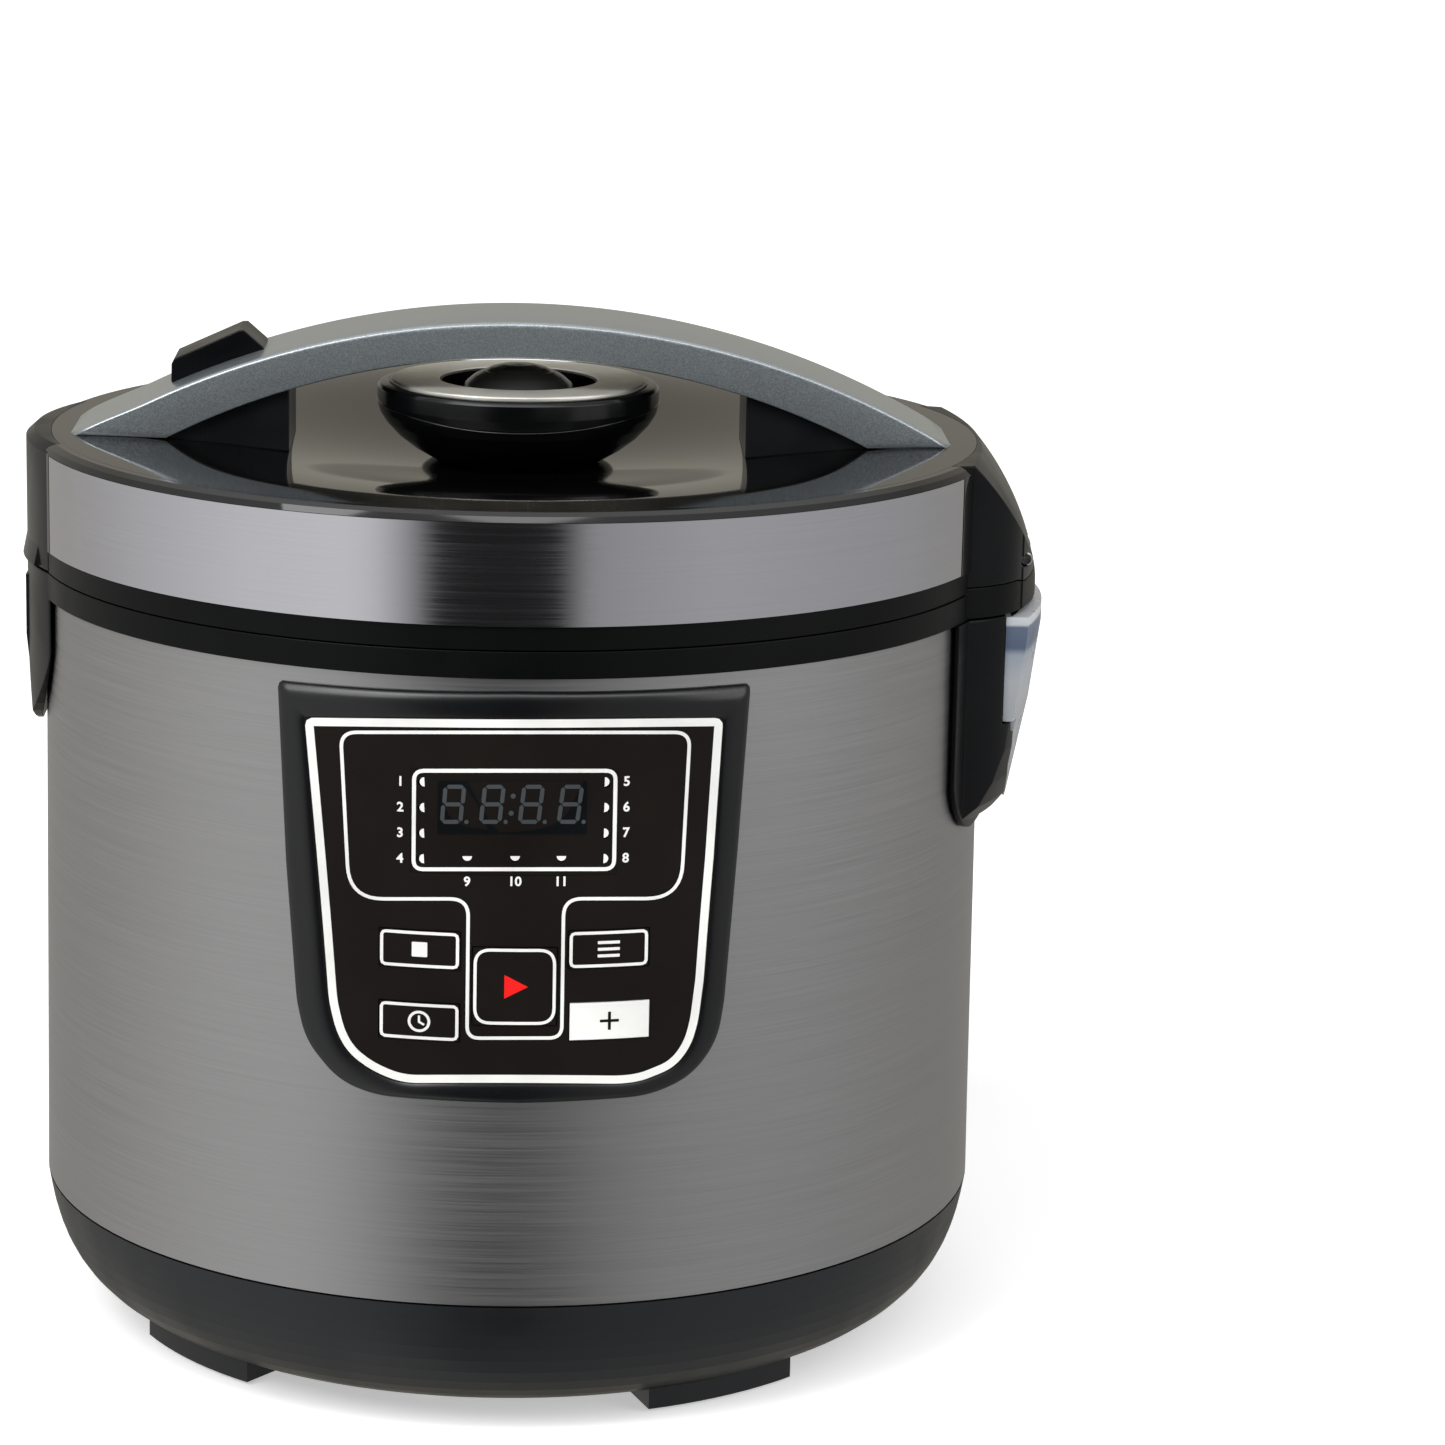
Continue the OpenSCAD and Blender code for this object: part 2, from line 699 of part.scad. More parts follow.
module cord_tail() {
    color("#1a1b1d") on_axis() swept_tube(tail_route, cord_d);
}

module plug_body() {
    color("#151618") on_axis() translate([plug_x, plug_y, 0.1]) {
        difference() {
            union() {
                cylinder(r1 = 15, r2 = 18.6, h = 4);
                translate([0, 0, 4]) cylinder(r = 18.6, h = 4);
                translate([0, 0, 8]) cylinder(r = plug_face_r, h = plug_face - 8);
                translate([-plug_reach, 0, cord_lie]) rotate([0, 90, 0])
                    cylinder(r1 = 5.2, r2 = 7.6, h = plug_reach - 15);
                translate([-27, -7.2, 0]) cube([20, 14.4, 16.6]);
            }
            // slots that let the boot bend
            for (i = [0:4])
                translate([4 - plug_reach + 3.6 * i, 0, cord_lie]) rotate([0, 90, 0]) difference() {
                    cylinder(r = 9, h = 1.5);
                    translate([0, 0, -1]) cylinder(r = 4, h = 4);
                }
            // notches of the earth clips, and the earth socket
            for (side = [-1, 1]) translate([side > 0 ? 17 : -20, -4, 17]) cube([3, 8, 12]);
            translate([9, 0, 18]) cylinder(r = 2.6, h = 12);
        }
    }
}

module plug_pins() {
    color("#c9c5ba") on_axis() translate([plug_x, plug_y, plug_face + 0.1])
        for (side = [-1, 1])
            translate([0, side * 9.5, 0]) {
                cylinder(r = 2.4, h = 17.8);
                translate([0, 0, 17.8]) cylinder(r1 = 2.4, r2 = 1.4, h = 1.4);
            }
}

module plug_earth_clips() {
    color("#b8a86a") on_axis() translate([plug_x, plug_y, 0])
        for (side = [-1, 1]) translate([side > 0 ? 17 : -18, -3.8, 17.1]) cube([1, 7.6, 9.8]);
}

// ---------- lid ----------
module lid_cover() {
    color("#2b2a29") on_axis() difference() {
        union() {
            rotate_extrude()
                polygon(concat([for (i = [0:24]) let (r = 20.5 + (126 - 20.5) * i / 24) [r, dish(r)]],
                               [[139.3, body_top + lid_rim], [band_r - 1.2, body_top + band_high + 1.5],
                                [band_r, body_top + band_high], [band_r - 1.3, body_top + band_high],
                                [band_r - 1.3, body_top + band_low], [137, body_top + band_low],
                                [137, body_top + band_high - 1.2]],
                               [for (i = [24:-1:0]) let (r = 20.5 + (126 - 20.5) * i / 24) [r, dish(r) - wall]]));
            // black skin between the ends of the steel band
            intersection() {
                tube(band_r, 138, body_top + band_low, body_top + band_high);
                union() {
                    sector(90, flank_deg - 0.3, 0, 400);
                    sector(-90, 18.7, 0, 400);
                }
            }
        }
        // seats of the hinge cover and the latch cover
        difference() {
            translate([0, 0, body_top]) linear_extrude(60) block_plan(-0.1);
            cylinder(r = 137.1, h = 400);
        }
        difference() {
            translate([-200, -latch_half - 0.1, body_top]) cube([100, 2 * latch_half + 0.2, 60]);
            cylinder(r = 138, h = 400);
        }
        // shadow gap beside the latch cover
        for (side = [-1, 1])
            rotate([0, 0, side * 16.9]) translate([-146, -1.9, body_top + band_low - 1])
                cube([7, 3.8, band_high - band_low + 1.6]);
        // channel that the latch hook slides in
        translate([-143, -9, body_top - 1]) cube([12, 18, 38.4]);
    }
}

module hinge_cover() {
    color("#2b2a29") on_axis() difference() {
        union() {
            hinge_skin(0, body_top + hinge_seam + 0.4, body_top + lid_rim);
            intersection() {
                hinge_axis_rod(barrel_r, -49, 49);
                hinge_skin(0, body_top + 2, body_top + 30);
            }
        }
        difference() {
            hinge_skin(wall, body_top, body_top + lid_rim - wall);
            hinge_axis_rod(barrel_r, -60, 60);
        }
        translate([0, 0, body_top]) cylinder(r = 137.2, h = 80);
        ear_spans() hinge_axis_rod(barrel_r + 0.3, -ear_w / 2 - 0.35, ear_w / 2 + 0.35);
        ear_spans() translate([pin_x - 5.2, -ear_w / 2 - 0.35, body_top + 4]) cube([10.4, ear_w + 0.7, 10.3]);
        difference() {
            translate([pin_x, -60, body_top]) cube([20, 120, pin_z - body_top]);
            hinge_axis_rod(barrel_r, -61, 61);
        }
        hinge_axis_rod(spring_room, -ear_half_gap, ear_half_gap);
        hinge_axis_rod(pin_r + 0.05, -60, 60);
    }
}

module latch_cover() {
    low = body_top + ring_h + 0.6;
    color("#2b2a29") on_axis() difference() {
        union() {
            latch_plan(low, body_top + band_high, latch_half);
            translate([latch_skin_x, 0, body_top + band_high]) intersection() {
                cylinder(r1 = latch_skin_r, r2 = latch_skin_r - 2.6, h = lid_rim - band_high);
                translate([-100, -latch_half, 0]) cube([40, 2 * latch_half, 5]);
            }
            intersection() {
                translate([latch_skin_x, 0, low])
                    cylinder(r1 = latch_skin_r + latch_lip, r2 = latch_skin_r, h = 6);
                translate([-160, -latch_half + 8, low]) cube([40, 2 * latch_half - 16, 6]);
            }
        }
        translate([0, 0, body_top]) cylinder(r = 138.1, h = 80);
        translate([-143, -9, body_top - 1]) cube([12, 18, 38.4]);
    }
}

module lid_band(az) {
    color("#aeb0b6") on_axis() intersection() {
        tube(band_r, band_r - 1, body_top + band_low + 0.15, body_top + band_high - 0.15);
        difference() {
            translate([-200, az == 0 ? -200 : 0, 0]) cube([400, 200, 400]);
            sector(90, flank_deg, 0, 500);
            sector(-90, 19, 0, 500);
        }
    }
}

module lid_band_front() { lid_band(0); }
module lid_band_rear() { lid_band(180); }

module lid_ring() {
    low = body_top + ring_h + 0.5;
    color("#222326") on_axis() difference() {
        rotate_extrude()
            polygon([[band_r - 0.6, low], [band_r - 0.6, body_top + band_low - 0.1], [136.8, body_top + band_low - 0.1],
                     [136.8, body_top + band_low + 3], [134, body_top + band_low + 3], [134, low + 2.4],
                     [108, low + 2.4], [108, low + 5], [20, low + 5], [20, low + 2.6], [105.5, low + 2.6],
                     [105.5, low]]);
        // the hinge block and the latch column pass outside the ring
        difference() {
            hinge_skin(-0.3, body_top, body_top + 60);
            translate([0, 0, body_top - 1]) cylinder(r = 136.9, h = 90);
        }
        hinge_skin(-0.3, body_top + 2, body_top + hinge_seam + 0.4);
        difference() {
            sector(-90, 17.2, 0, 400);
            cylinder(r = 136.9, h = 400);
        }
        hinge_axis_rod(relief_r, -60, 60);
    }
}

module inner_lid() {
    low = body_top + 5.8;
    color("#c3c5c7") on_axis() difference() {
        rotate_extrude()
            polygon([[9, low + 2.6], [40, low + 2.6], [98, low + 1.2], [104.6, low], [104.6, low + 1],
                     [98, low + 2.2], [40, low + 3.6], [9, low + 3.6]]);
        for (a = [0:30:330]) rotate([0, 0, a]) translate([30, 0, low]) cylinder(r = 2, h = 8);
    }
}

module lid_gasket() {
    low = body_top + 5.5;
    color("#d9dadb") on_axis()
        rotate_extrude()
            polygon([[104.8, low + 0.4], [112, low], [118.4, low + 0.6], [118.4, low + 2.3], [105.3, low + 2.3],
                     [104.8, low + 1.6]]);
}

module inner_lid_knob() {
    low = body_top + 5;
    color("#2b2c2f") on_axis() {
        translate([0, 0, low]) cylinder(r = 14, h = 3.3);
        translate([0, 0, low]) cylinder(r = 8.9, h = 7.8);
        translate([0, 0, low + 4.4]) cylinder(r = 12, h = 3.2);
    }
}

module valve_body() {
    t = body_top;
    color("#26282b") on_axis() difference() {
        rotate_extrude()
            polygon([[0, t + 14.2], [20.1, t + 14.2], [20.1, t + 36.4], [21.7, t + 36.6], [24.3, t + 37.8],
                     [29.4, t + 41], [34.6, t + 45], [38.7, t + 48.6], [41.2, t + 52], [42, t + 54.2],
                     [42, t + 57], [41, t + 59], [38.7, t + 60.4], [23.2, t + 60.4], [23.2, t + 55.4],
                     [19.2, t + 55.4], [19.2, t + 55], [0, t + 55]]);
        for (a = [0:60:300]) rotate([0, 0, a]) translate([11, 0, t + 10]) cylinder(r = 2.4, h = 60);
        // a groove around the grip
        difference() {
            translate([0, 0, t + 50.9]) cylinder(r = 50, h = 0.6);
            translate([0, 0, t + 50]) cylinder(r = 39.6, h = 3);
        }
    }
}

module valve_ring() {
    t = body_top;
    color("#b4b7bb") on_axis()
        rotate_extrude()
            polygon([[23.2, t + 60.4], [38.7, t + 60.4], [38.2, t + 61.2], [36.5, t + 61.7], [25.2, t + 61.7],
                     [23.5, t + 61.2]]);
}

module valve_dome() {
    t = body_top;
    color("#222427") on_axis()
        rotate_extrude()
            polygon([[0, t + 55], [19, t + 55], [19, t + 58.6], [17.6, t + 61.2], [14, t + 63.4], [9, t + 64.8],
                     [4, t + 65.3], [0, t + 65.35]]);
}

// Side view of the arch between two radii, cut off at the lid
module arch(r_out, top, r_in, in_top, y0, y1) {
    translate([0, y1, 0]) rotate([90, 0, 0]) linear_extrude(y1 - y0)
        intersection() {
            difference() {
                translate([0, body_top + top - r_out]) circle(r = r_out, $fn = 360);
                translate([0, body_top + in_top - r_in]) circle(r = r_in, $fn = 360);
            }
            translate([-140, body_top + lid_rim - 6]) square([280, 60]);
        }
}

// Everything under the lid's top surface
module under_dish() {
    translate([0, 0, body_top])
        rotate_extrude()
            polygon([[0, 0], [0, 41.1], [67, 41.1], [90, 43.5], [102, 44.65], [114, 45.4], [126, 45.6],
                     [150, 45.6], [150, 0]]);
}

module button_frame() {
    translate([button_x, 0, button_z]) rotate([0, -button_slope, 0]) children();
}

module handle_trim() {
    color("#a3a8ad") on_axis() difference() {
        intersection() {
            arch(arch_r, arch_top, under_r, under_top, handle_front, handle_back);
            rounded_slab(-130.4, 130.4, handle_front, handle_back, 14, body_top + 30, body_top + 90);
        }
        intersection() {
            arch(arch_r - wall, arch_top - wall, under_r - 10, under_top - 10,
                 handle_front + wall, handle_back - wall);
            rounded_slab(-127, 127, handle_front + wall, handle_back - wall, 11.5,
                         body_top + 20, body_top + 90);
        }
        under_dish();
        button_frame()
            translate([-button_half - 0.4, button_front - 0.4, -8])
                cube([2 * button_half + 0.8, button_back - button_front + 0.8, 30]);
    }
}

module handle_core() {
    front = handle_front + wall + 0.02;
    back = handle_back - wall - 0.02;
    color("#1b1c1e") on_axis() difference() {
        union() {
            intersection() {
                arch(arch_r - wall - 0.02, arch_top - wall - 0.02, under_r, under_top, front, back);
                rounded_slab(-126.9, 126.9, front, back, 11.4, body_top + 20, body_top + 90);
            }
            // legs that carry the arch on the lid
            for (side = [-1, 1])
                translate([0, back, body_top]) rotate([90, 0, 0]) linear_extrude(back - front)
                    polygon([[side * grip_half, 38], [side * grip_half, 63.5],
                             [side * 102, 50], [side * 102, 38]]);
        }
        under_dish();
        button_frame()
            translate([-button_half - 0.4, button_front - 0.4, -9.5])
                cube([2 * button_half + 0.8, button_back - button_front + 0.8, 30]);
    }
}

module release_button() {
    color("#141517") on_axis() button_frame()
        translate([0, button_back, 0]) rotate([90, 0, 0]) linear_extrude(button_back - button_front)
            polygon([[-button_half, -5.6], [-button_half, 0.2], [-12.6, 4.9], [-11.4, 6], [9.6, 7.3],
                     [11, 6.8], [button_half, 0.2], [button_half, -5.6]]);
}

module button_spring() {
    color("#9a9c9f") on_axis() button_frame()
        translate([0, (button_front + button_back) / 2, -9.4]) coil_spring(4, 0.8, 3.7, 3);
}

module latch_hook() {
    color("#3a3c3f") on_axis() {
        translate([-142.2, -8.5, body_top - 8.6]) cube([2.2, 17, 44]);
        translate([-144, -8.5, body_top - 8.6]) cube([3, 17, 3.4]);
        translate([-141, -8.5, body_top + 32.4]) cube([7, 17, 3]);
    }
}

module latch_spring() {
    color("#9a9c9f") on_axis()
        translate([-139.9, 0, body_top + 24]) rotate([0, 90, 0]) coil_spring(3, 0.7, 5.4, 4);
}

module lid_screws() {
    color("#8f9194") on_axis()
        for (a = [45, 135, 225, 315])
            rotate([0, 0, a]) translate([112, 0, body_top + ring_h + 3]) {
                cylinder(r = 3, h = 2);
                cylinder(r = 1.5, h = 12);
            }
}

base_shell();
foot_pads();
base_screws();
steel_sleeve();
body_ring();
hinge_housing();
latch_column();
latch_catch();
hinge_pin();
hinge_spring();
condensate_cup();
inner_liner();
heating_plate();
plate_posts();
inner_pot();
pot_sensor();
sensor_spring();
thermal_fuse();
power_board();
terminal_block();
panel_bezel();
panel_overlay();
display_window();
display_module();
indicator_lenses();
control_board();
key_switches();
key_upper_left();
key_lower_left();
key_upper_right();
key_lower_right();
key_start();
strain_relief();
cord_lead();
cord_coil();
cord_tie();
cord_tail();
plug_body();
plug_pins();
plug_earth_clips();
lid_cover();
hinge_cover();
latch_cover();
lid_band_front();
lid_band_rear();
lid_ring();
inner_lid();
lid_gasket();
inner_lid_knob();
valve_body();
valve_ring();
valve_dome();
handle_trim();
handle_core();
release_button();
button_spring();
latch_hook();
latch_spring();
lid_screws();
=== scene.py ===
import math
import json
import bpy
import bmesh
from mathutils import Matrix, Vector


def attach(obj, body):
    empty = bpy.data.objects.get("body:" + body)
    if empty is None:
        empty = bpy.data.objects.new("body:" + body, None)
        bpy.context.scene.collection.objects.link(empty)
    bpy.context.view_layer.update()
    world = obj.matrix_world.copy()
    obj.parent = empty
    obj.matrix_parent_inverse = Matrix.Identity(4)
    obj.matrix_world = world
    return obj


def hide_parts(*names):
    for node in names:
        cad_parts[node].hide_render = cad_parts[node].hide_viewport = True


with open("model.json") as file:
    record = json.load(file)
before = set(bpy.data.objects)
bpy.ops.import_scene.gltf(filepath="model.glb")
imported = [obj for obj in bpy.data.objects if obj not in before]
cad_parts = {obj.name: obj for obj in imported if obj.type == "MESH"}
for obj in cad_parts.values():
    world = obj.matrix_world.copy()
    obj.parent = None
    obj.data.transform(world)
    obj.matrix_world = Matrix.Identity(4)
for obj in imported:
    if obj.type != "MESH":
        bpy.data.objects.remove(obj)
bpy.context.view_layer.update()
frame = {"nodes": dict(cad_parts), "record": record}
nodes = frame["nodes"]
scene = bpy.context.scene
scene.view_settings.view_transform = "Standard"

# The cooker's own axis, the level of the steel body's top edge and the body's radius, in metres
cooker = {"axisX": -0.00565, "bodyTop": 0.2225, "bodyR": 0.140}

camera = {"back": 1.343, "overTop": 0.2646, "yaw": 2.694, "pitch": 12.923, "roll": -1.293, "lens": 113.0}


def placeCamera():
    yaw, pitch, roll = (math.radians(camera[k]) for k in ("yaw", "pitch", "roll"))
    forward = Vector((math.sin(yaw) * math.cos(pitch), math.cos(yaw) * math.cos(pitch), -math.sin(pitch)))
    level = Vector((math.cos(yaw), -math.sin(yaw), 0))
    down = forward.cross(level)
    right = math.cos(roll) * level + math.sin(roll) * down
    down = -math.sin(roll) * level + math.cos(roll) * down
    eye = bpy.data.objects.new("camera", bpy.data.cameras.new("camera"))
    eye.data.lens = camera["lens"]
    eye.data.clip_end = 60
    turn = Matrix((right, -down, -forward)).transposed().to_4x4()
    place = (cooker["axisX"], -camera["back"], cooker["bodyTop"] + camera["overTop"])
    eye.matrix_world = Matrix.Translation(place) @ turn
    scene.collection.objects.link(eye)
    scene.camera = eye


placeCamera()
print("camera placed")


def setSockets(node, **values):
    for key, value in values.items():
        node.inputs[key.replace("_", " ")].default_value = value


def addNode(nodeSet, kind, operation=None, **values):
    node = nodeSet.new(kind)
    if operation:
        node.operation = operation
    setSockets(node, **values)
    return node


def newMaterial(name):
    m = bpy.data.materials.new(name)
    m.use_nodes = True
    return m, m.node_tree.nodes, m.node_tree.links, m.node_tree.nodes["Principled BSDF"]


def objectNoise(nodeSet, links, scale, stretch=(1, 1, 1), detail=3.0, rough=0.5):
    coord = nodeSet.new("ShaderNodeTexCoord")
    mapping = addNode(nodeSet, "ShaderNodeMapping", Scale=stretch)
    noise = addNode(nodeSet, "ShaderNodeTexNoise", Scale=scale, Detail=detail, Roughness=rough)
    links.new(coord.outputs["Object"], mapping.inputs["Vector"])
    links.new(mapping.outputs["Vector"], noise.inputs["Vector"])
    return noise.outputs["Fac"]


def ramp(nodeSet, links, source, low, high, stops=(0.3, 0.7)):
    r = addNode(nodeSet, "ShaderNodeMapRange", From_Min=stops[0], From_Max=stops[1], To_Min=low, To_Max=high)
    links.new(source, r.inputs["Value"])
    return r.outputs["Result"]


def toneRamp(nodeSet, links, source, tone, low, high, stops=(0.35, 0.65)):
    r = nodeSet.new("ShaderNodeValToRGB")
    for stop, at, share in zip(r.color_ramp.elements, stops, (low, high)):
        stop.position = at
        stop.color = (*[c * share for c in tone], 1)
    links.new(source, r.inputs["Fac"])
    return r.outputs["Color"]


def mixTones(nodeSet, links, a, b, share):
    mix = nodeSet.new("ShaderNodeMix")
    mix.data_type = "RGBA"
    mix.inputs["Factor"].default_value = share
    links.new(a, mix.inputs["A"])
    links.new(b, mix.inputs["B"])
    return mix.outputs["Result"]


def addBump(nodeSet, links, shader, height, strength, distance, edge=0.0):
    bump = addNode(nodeSet, "ShaderNodeBump", Strength=strength, Distance=distance)
    links.new(height, bump.inputs["Height"])
    if edge:  # rounds the look of sharp moulded edges
        softer = addNode(nodeSet, "ShaderNodeBevel", Radius=edge)
        softer.samples = 6
        links.new(softer.outputs["Normal"], bump.inputs["Normal"])
    links.new(bump.outputs["Normal"], shader.inputs["Normal"])


def srgb(r, g, b):
    return tuple((c / 255 / 12.92) if c <= 10 else ((c / 255 + 0.055) / 1.055) ** 2.4 for c in (r, g, b))


def mouldedPlastic(name, tone, rough, grain=0.00004, grainScale=2600, spread=0.08, level=0.5, coat=0.0, edge=0.0):
    m, n, l, shader = newMaterial(name)
    mottle = objectNoise(n, l, 35, detail=4)
    l.new(toneRamp(n, l, mottle, tone, 0.9, 1.1), shader.inputs["Base Color"])
    l.new(ramp(n, l, mottle, rough - spread, rough + spread), shader.inputs["Roughness"])
    setSockets(shader, Specular_IOR_Level=level, Coat_Weight=coat, Coat_Roughness=0.08)
    if grain or edge:
        addBump(n, l, shader, objectNoise(n, l, grainScale, detail=2), 0.5, grain, edge)
    return m


def brushedSteel(name, tone, rough, streak, anisotropic=0.6):  # brushed round the upright axis
    m, n, l, shader = newMaterial(name)
    lines = objectNoise(n, l, 1, stretch=(18, 18, 2600), detail=6, rough=0.65)
    cloud = objectNoise(n, l, 9, stretch=(1, 1, 0.35), detail=3)
    streaks = toneRamp(n, l, lines, tone, 1 - streak, 1 + streak, (0.3, 0.7))
    clouds = toneRamp(n, l, cloud, tone, 0.93, 1.06, (0.3, 0.7))
    l.new(mixTones(n, l, streaks, clouds, 0.35), shader.inputs["Base Color"])
    l.new(ramp(n, l, lines, rough - 0.06, rough + 0.06), shader.inputs["Roughness"])
    setSockets(shader, Metallic=1.0, Anisotropic=anisotropic)
    tangent = n.new("ShaderNodeTangent")
    tangent.direction_type = "RADIAL"
    tangent.axis = "Z"
    l.new(tangent.outputs["Tangent"], shader.inputs["Tangent"])
    addBump(n, l, shader, lines, 0.25, 0.00002)
    return m


def plainMetal(name, tone, rough, scale=900, metal=1.0):
    m, n, l, shader = newMaterial(name)
    wear = objectNoise(n, l, 60, detail=5)
    fine = objectNoise(n, l, scale, detail=3)
    l.new(toneRamp(n, l, wear, tone, 0.88, 1.08), shader.inputs["Base Color"])
    l.new(ramp(n, l, fine, rough - 0.05, rough + 0.07), shader.inputs["Roughness"])
    setSockets(shader, Metallic=metal)
    addBump(n, l, shader, fine, 0.4, 0.00001)
    return m


def flakePaint(name, tone, rough):  # metallic paint with fine flake under a thin clear coat
    m, n, l, shader = newMaterial(name)
    flake = objectNoise(n, l, 2300, detail=1.5)
    cloud = objectNoise(n, l, 40, detail=3)
    flakes = toneRamp(n, l, flake, tone, 0.72, 1.3, (0.36, 0.66))
    clouds = toneRamp(n, l, cloud, tone, 0.95, 1.05)
    l.new(mixTones(n, l, flakes, clouds, 0.4), shader.inputs["Base Color"])
    l.new(ramp(n, l, flake, rough - 0.05, rough + 0.08), shader.inputs["Roughness"])
    setSockets(shader, Metallic=0.7, Coat_Weight=0.7, Coat_Roughness=0.12)
    addBump(n, l, shader, flake, 0.35, 0.00002)
    return m


def clearPlastic(name, depths, rough, through):
    # depths: height over the floor in metres and the tone there, from the bottom up
    m, n, l, shader = newMaterial(name)
    coord, split = n.new("ShaderNodeTexCoord"), n.new("ShaderNodeSeparateXYZ")
    l.new(coord.outputs["Object"], split.inputs["Vector"])
    low, high = depths[0][0], depths[-1][0]
    share = ramp(n, l, split.outputs["Z"], 0, 1, (low, high))
    tint = n.new("ShaderNodeValToRGB")
    for k, (z, tone) in enumerate(depths):
        at = (z - low) / (high - low)
        stop = tint.color_ramp.elements[k] if k < 2 else tint.color_ramp.elements.new(at)
        stop.position = at
        stop.color = (*tone, 1)
    l.new(share, tint.inputs["Fac"])
    l.new(tint.outputs["Color"], shader.inputs["Base Color"])
    haze = objectNoise(n, l, 90, detail=2)
    l.new(ramp(n, l, haze, rough - 0.06, rough + 0.1), shader.inputs["Roughness"])
    setSockets(shader, Transmission_Weight=through, IOR=1.49, Specular_IOR_Level=0.5)
    addBump(n, l, shader, haze, 0.08, 0.00001)
    return m


# The cup's tones under the level of the body's top edge: depth in metres and tone
cupDepths = [(0.060, (148, 151, 155)), (0.034, (160, 163, 168)), (0.020, (170, 174, 180)), (0.0125, (150, 158, 170)),
             (0.0105, (84, 98, 122)), (0.0042, (96, 108, 130)), (0.0034, (196, 200, 206)), (0.0012, (204, 207, 211))]
cupTones = [(cooker["bodyTop"] - depth, srgb(*tone)) for depth, tone in cupDepths]
finishes = {
    "black_satin": mouldedPlastic("blackSatin", srgb(19, 21, 23), 0.32, 0.00002, level=0.25, edge=0.0008),
    "black_base": mouldedPlastic("blackBase", srgb(21, 23, 26), 0.4, 0.00003, level=0.36),
    "black_gloss": mouldedPlastic("blackGloss", srgb(8, 8, 8), 0.05, 0, spread=0.015, level=0.42),
    "bezel_gloss": mouldedPlastic("bezelGloss", srgb(13, 14, 16), 0.27, 0, spread=0.04, level=0.4),
    "overlay_film": mouldedPlastic("overlayFilm", srgb(24, 20, 18), 0.5, 0.00001, level=0.06, spread=0.03),
    "white_print": mouldedPlastic("whitePrint", srgb(228, 228, 224), 0.5, 0, spread=0.05),
    "display_glass": mouldedPlastic("displayGlass", srgb(23, 20, 18), 0.35, 0, spread=0.02, level=0.08),
    "display_dark": mouldedPlastic("displayDark", srgb(11, 14, 16), 0.35, 0, level=0.1),
    "digit_grey": mouldedPlastic("digitGrey", srgb(60, 64, 66), 0.5, 0, spread=0.03, level=0.2),
    "sleeve_steel": brushedSteel("sleeveSteel", srgb(166, 165, 165), 0.4, 0.13, 0.35),
    "band_steel": brushedSteel("bandSteel", srgb(196, 195, 200), 0.13, 0.05, 0.5),
    "bright_steel": plainMetal("brightSteel", srgb(205, 206, 208), 0.16),
    "liner_metal": brushedSteel("linerMetal", srgb(190, 190, 188), 0.3, 0.1),
    "pot_coating": mouldedPlastic("potCoating", srgb(52, 52, 54), 0.35, 0.00002, 1400, coat=0.3),
    "handle_silver": flakePaint("handleSilver", srgb(146, 153, 157), 0.36),
    "silicone": mouldedPlastic("silicone", srgb(226, 226, 224), 0.5, 0.00002, 900),
    "pad_rubber": mouldedPlastic("padRubber", srgb(20, 21, 22), 0.7, 0.00006, 1500),
    "cup_clear": clearPlastic("cupClear", cupTones, 0.28, 0.04),
    "board_green": mouldedPlastic("boardGreen", srgb(32, 92, 58), 0.35, 0.00004, 500),
    "ceramic_white": mouldedPlastic("ceramicWhite", srgb(232, 230, 224), 0.4, 0.00003, 700),
    "cord_black": mouldedPlastic("cordBlack", srgb(24, 24, 26), 0.42, 0.00003, 1200, edge=0.0006),
    "pin_nickel": plainMetal("pinNickel", srgb(206, 200, 188), 0.15),
    "clip_brass": plainMetal("clipBrass", srgb(190, 174, 118), 0.25),
    "knob_black": mouldedPlastic("knobBlack", srgb(8, 9, 10), 0.2, 0, spread=0.03, level=0.26),
    "knob_ring": plainMetal("knobRing", srgb(216, 214, 206), 0.34, 1600, 0.6),
    "start_red": mouldedPlastic("startRed", srgb(228, 18, 14), 0.45, 0, spread=0.04, level=0.2),
    "cover_gloss": mouldedPlastic("coverGloss", srgb(10, 11, 13), 0.26, 0.00001, level=0.13, edge=0.0009),
    "ring_black": mouldedPlastic("ringBlack", srgb(7, 8, 8), 0.36, 0.00002, level=0.1, edge=0.0005),
    "dome_smoke": mouldedPlastic("domeSmoke", srgb(84, 86, 82), 0.22, 0, spread=0.04, level=0.5),
}
slotOf = {p["node"]: p["material_slot"] for p in frame["record"].get("subparts", [])}
ownFinish = {"hinge_cover": "cover_gloss", "latch_cover": "cover_gloss", "release_button": "cover_gloss",
             "hinge_housing": "cover_gloss", "latch_column": "cover_gloss", "body_ring": "ring_black",
             "lid_ring": "ring_black"}
for name, obj in nodes.items():
    finish = finishes.get(ownFinish.get(name, slotOf.get(name)))
    if finish:
        obj.data.materials.clear()
        obj.data.materials.append(finish)
print("finishes given to", sum(n in slotOf for n in nodes), "nodes of", len(nodes))


def easeBetween(x, a, b):
    t = min(1, max(0, (x - a) / (b - a)))
    return t * t * (3 - 2 * t)


def fromTop(x, y, z):  # millimetres from the cooker's axis and the body's top edge
    return (cooker["axisX"] + x / 1000, y / 1000, cooker["bodyTop"] + z / 1000)


def aroundAxis(a, r, z):  # the angle runs from the front to the right
    return fromTop(r * math.sin(a), -r * math.cos(a), z)


def meshOf(name, verts, faces):
    mesh = bpy.data.meshes.new(name)
    mesh.from_pydata([tuple(v) for v in verts], [], faces)
    return mesh


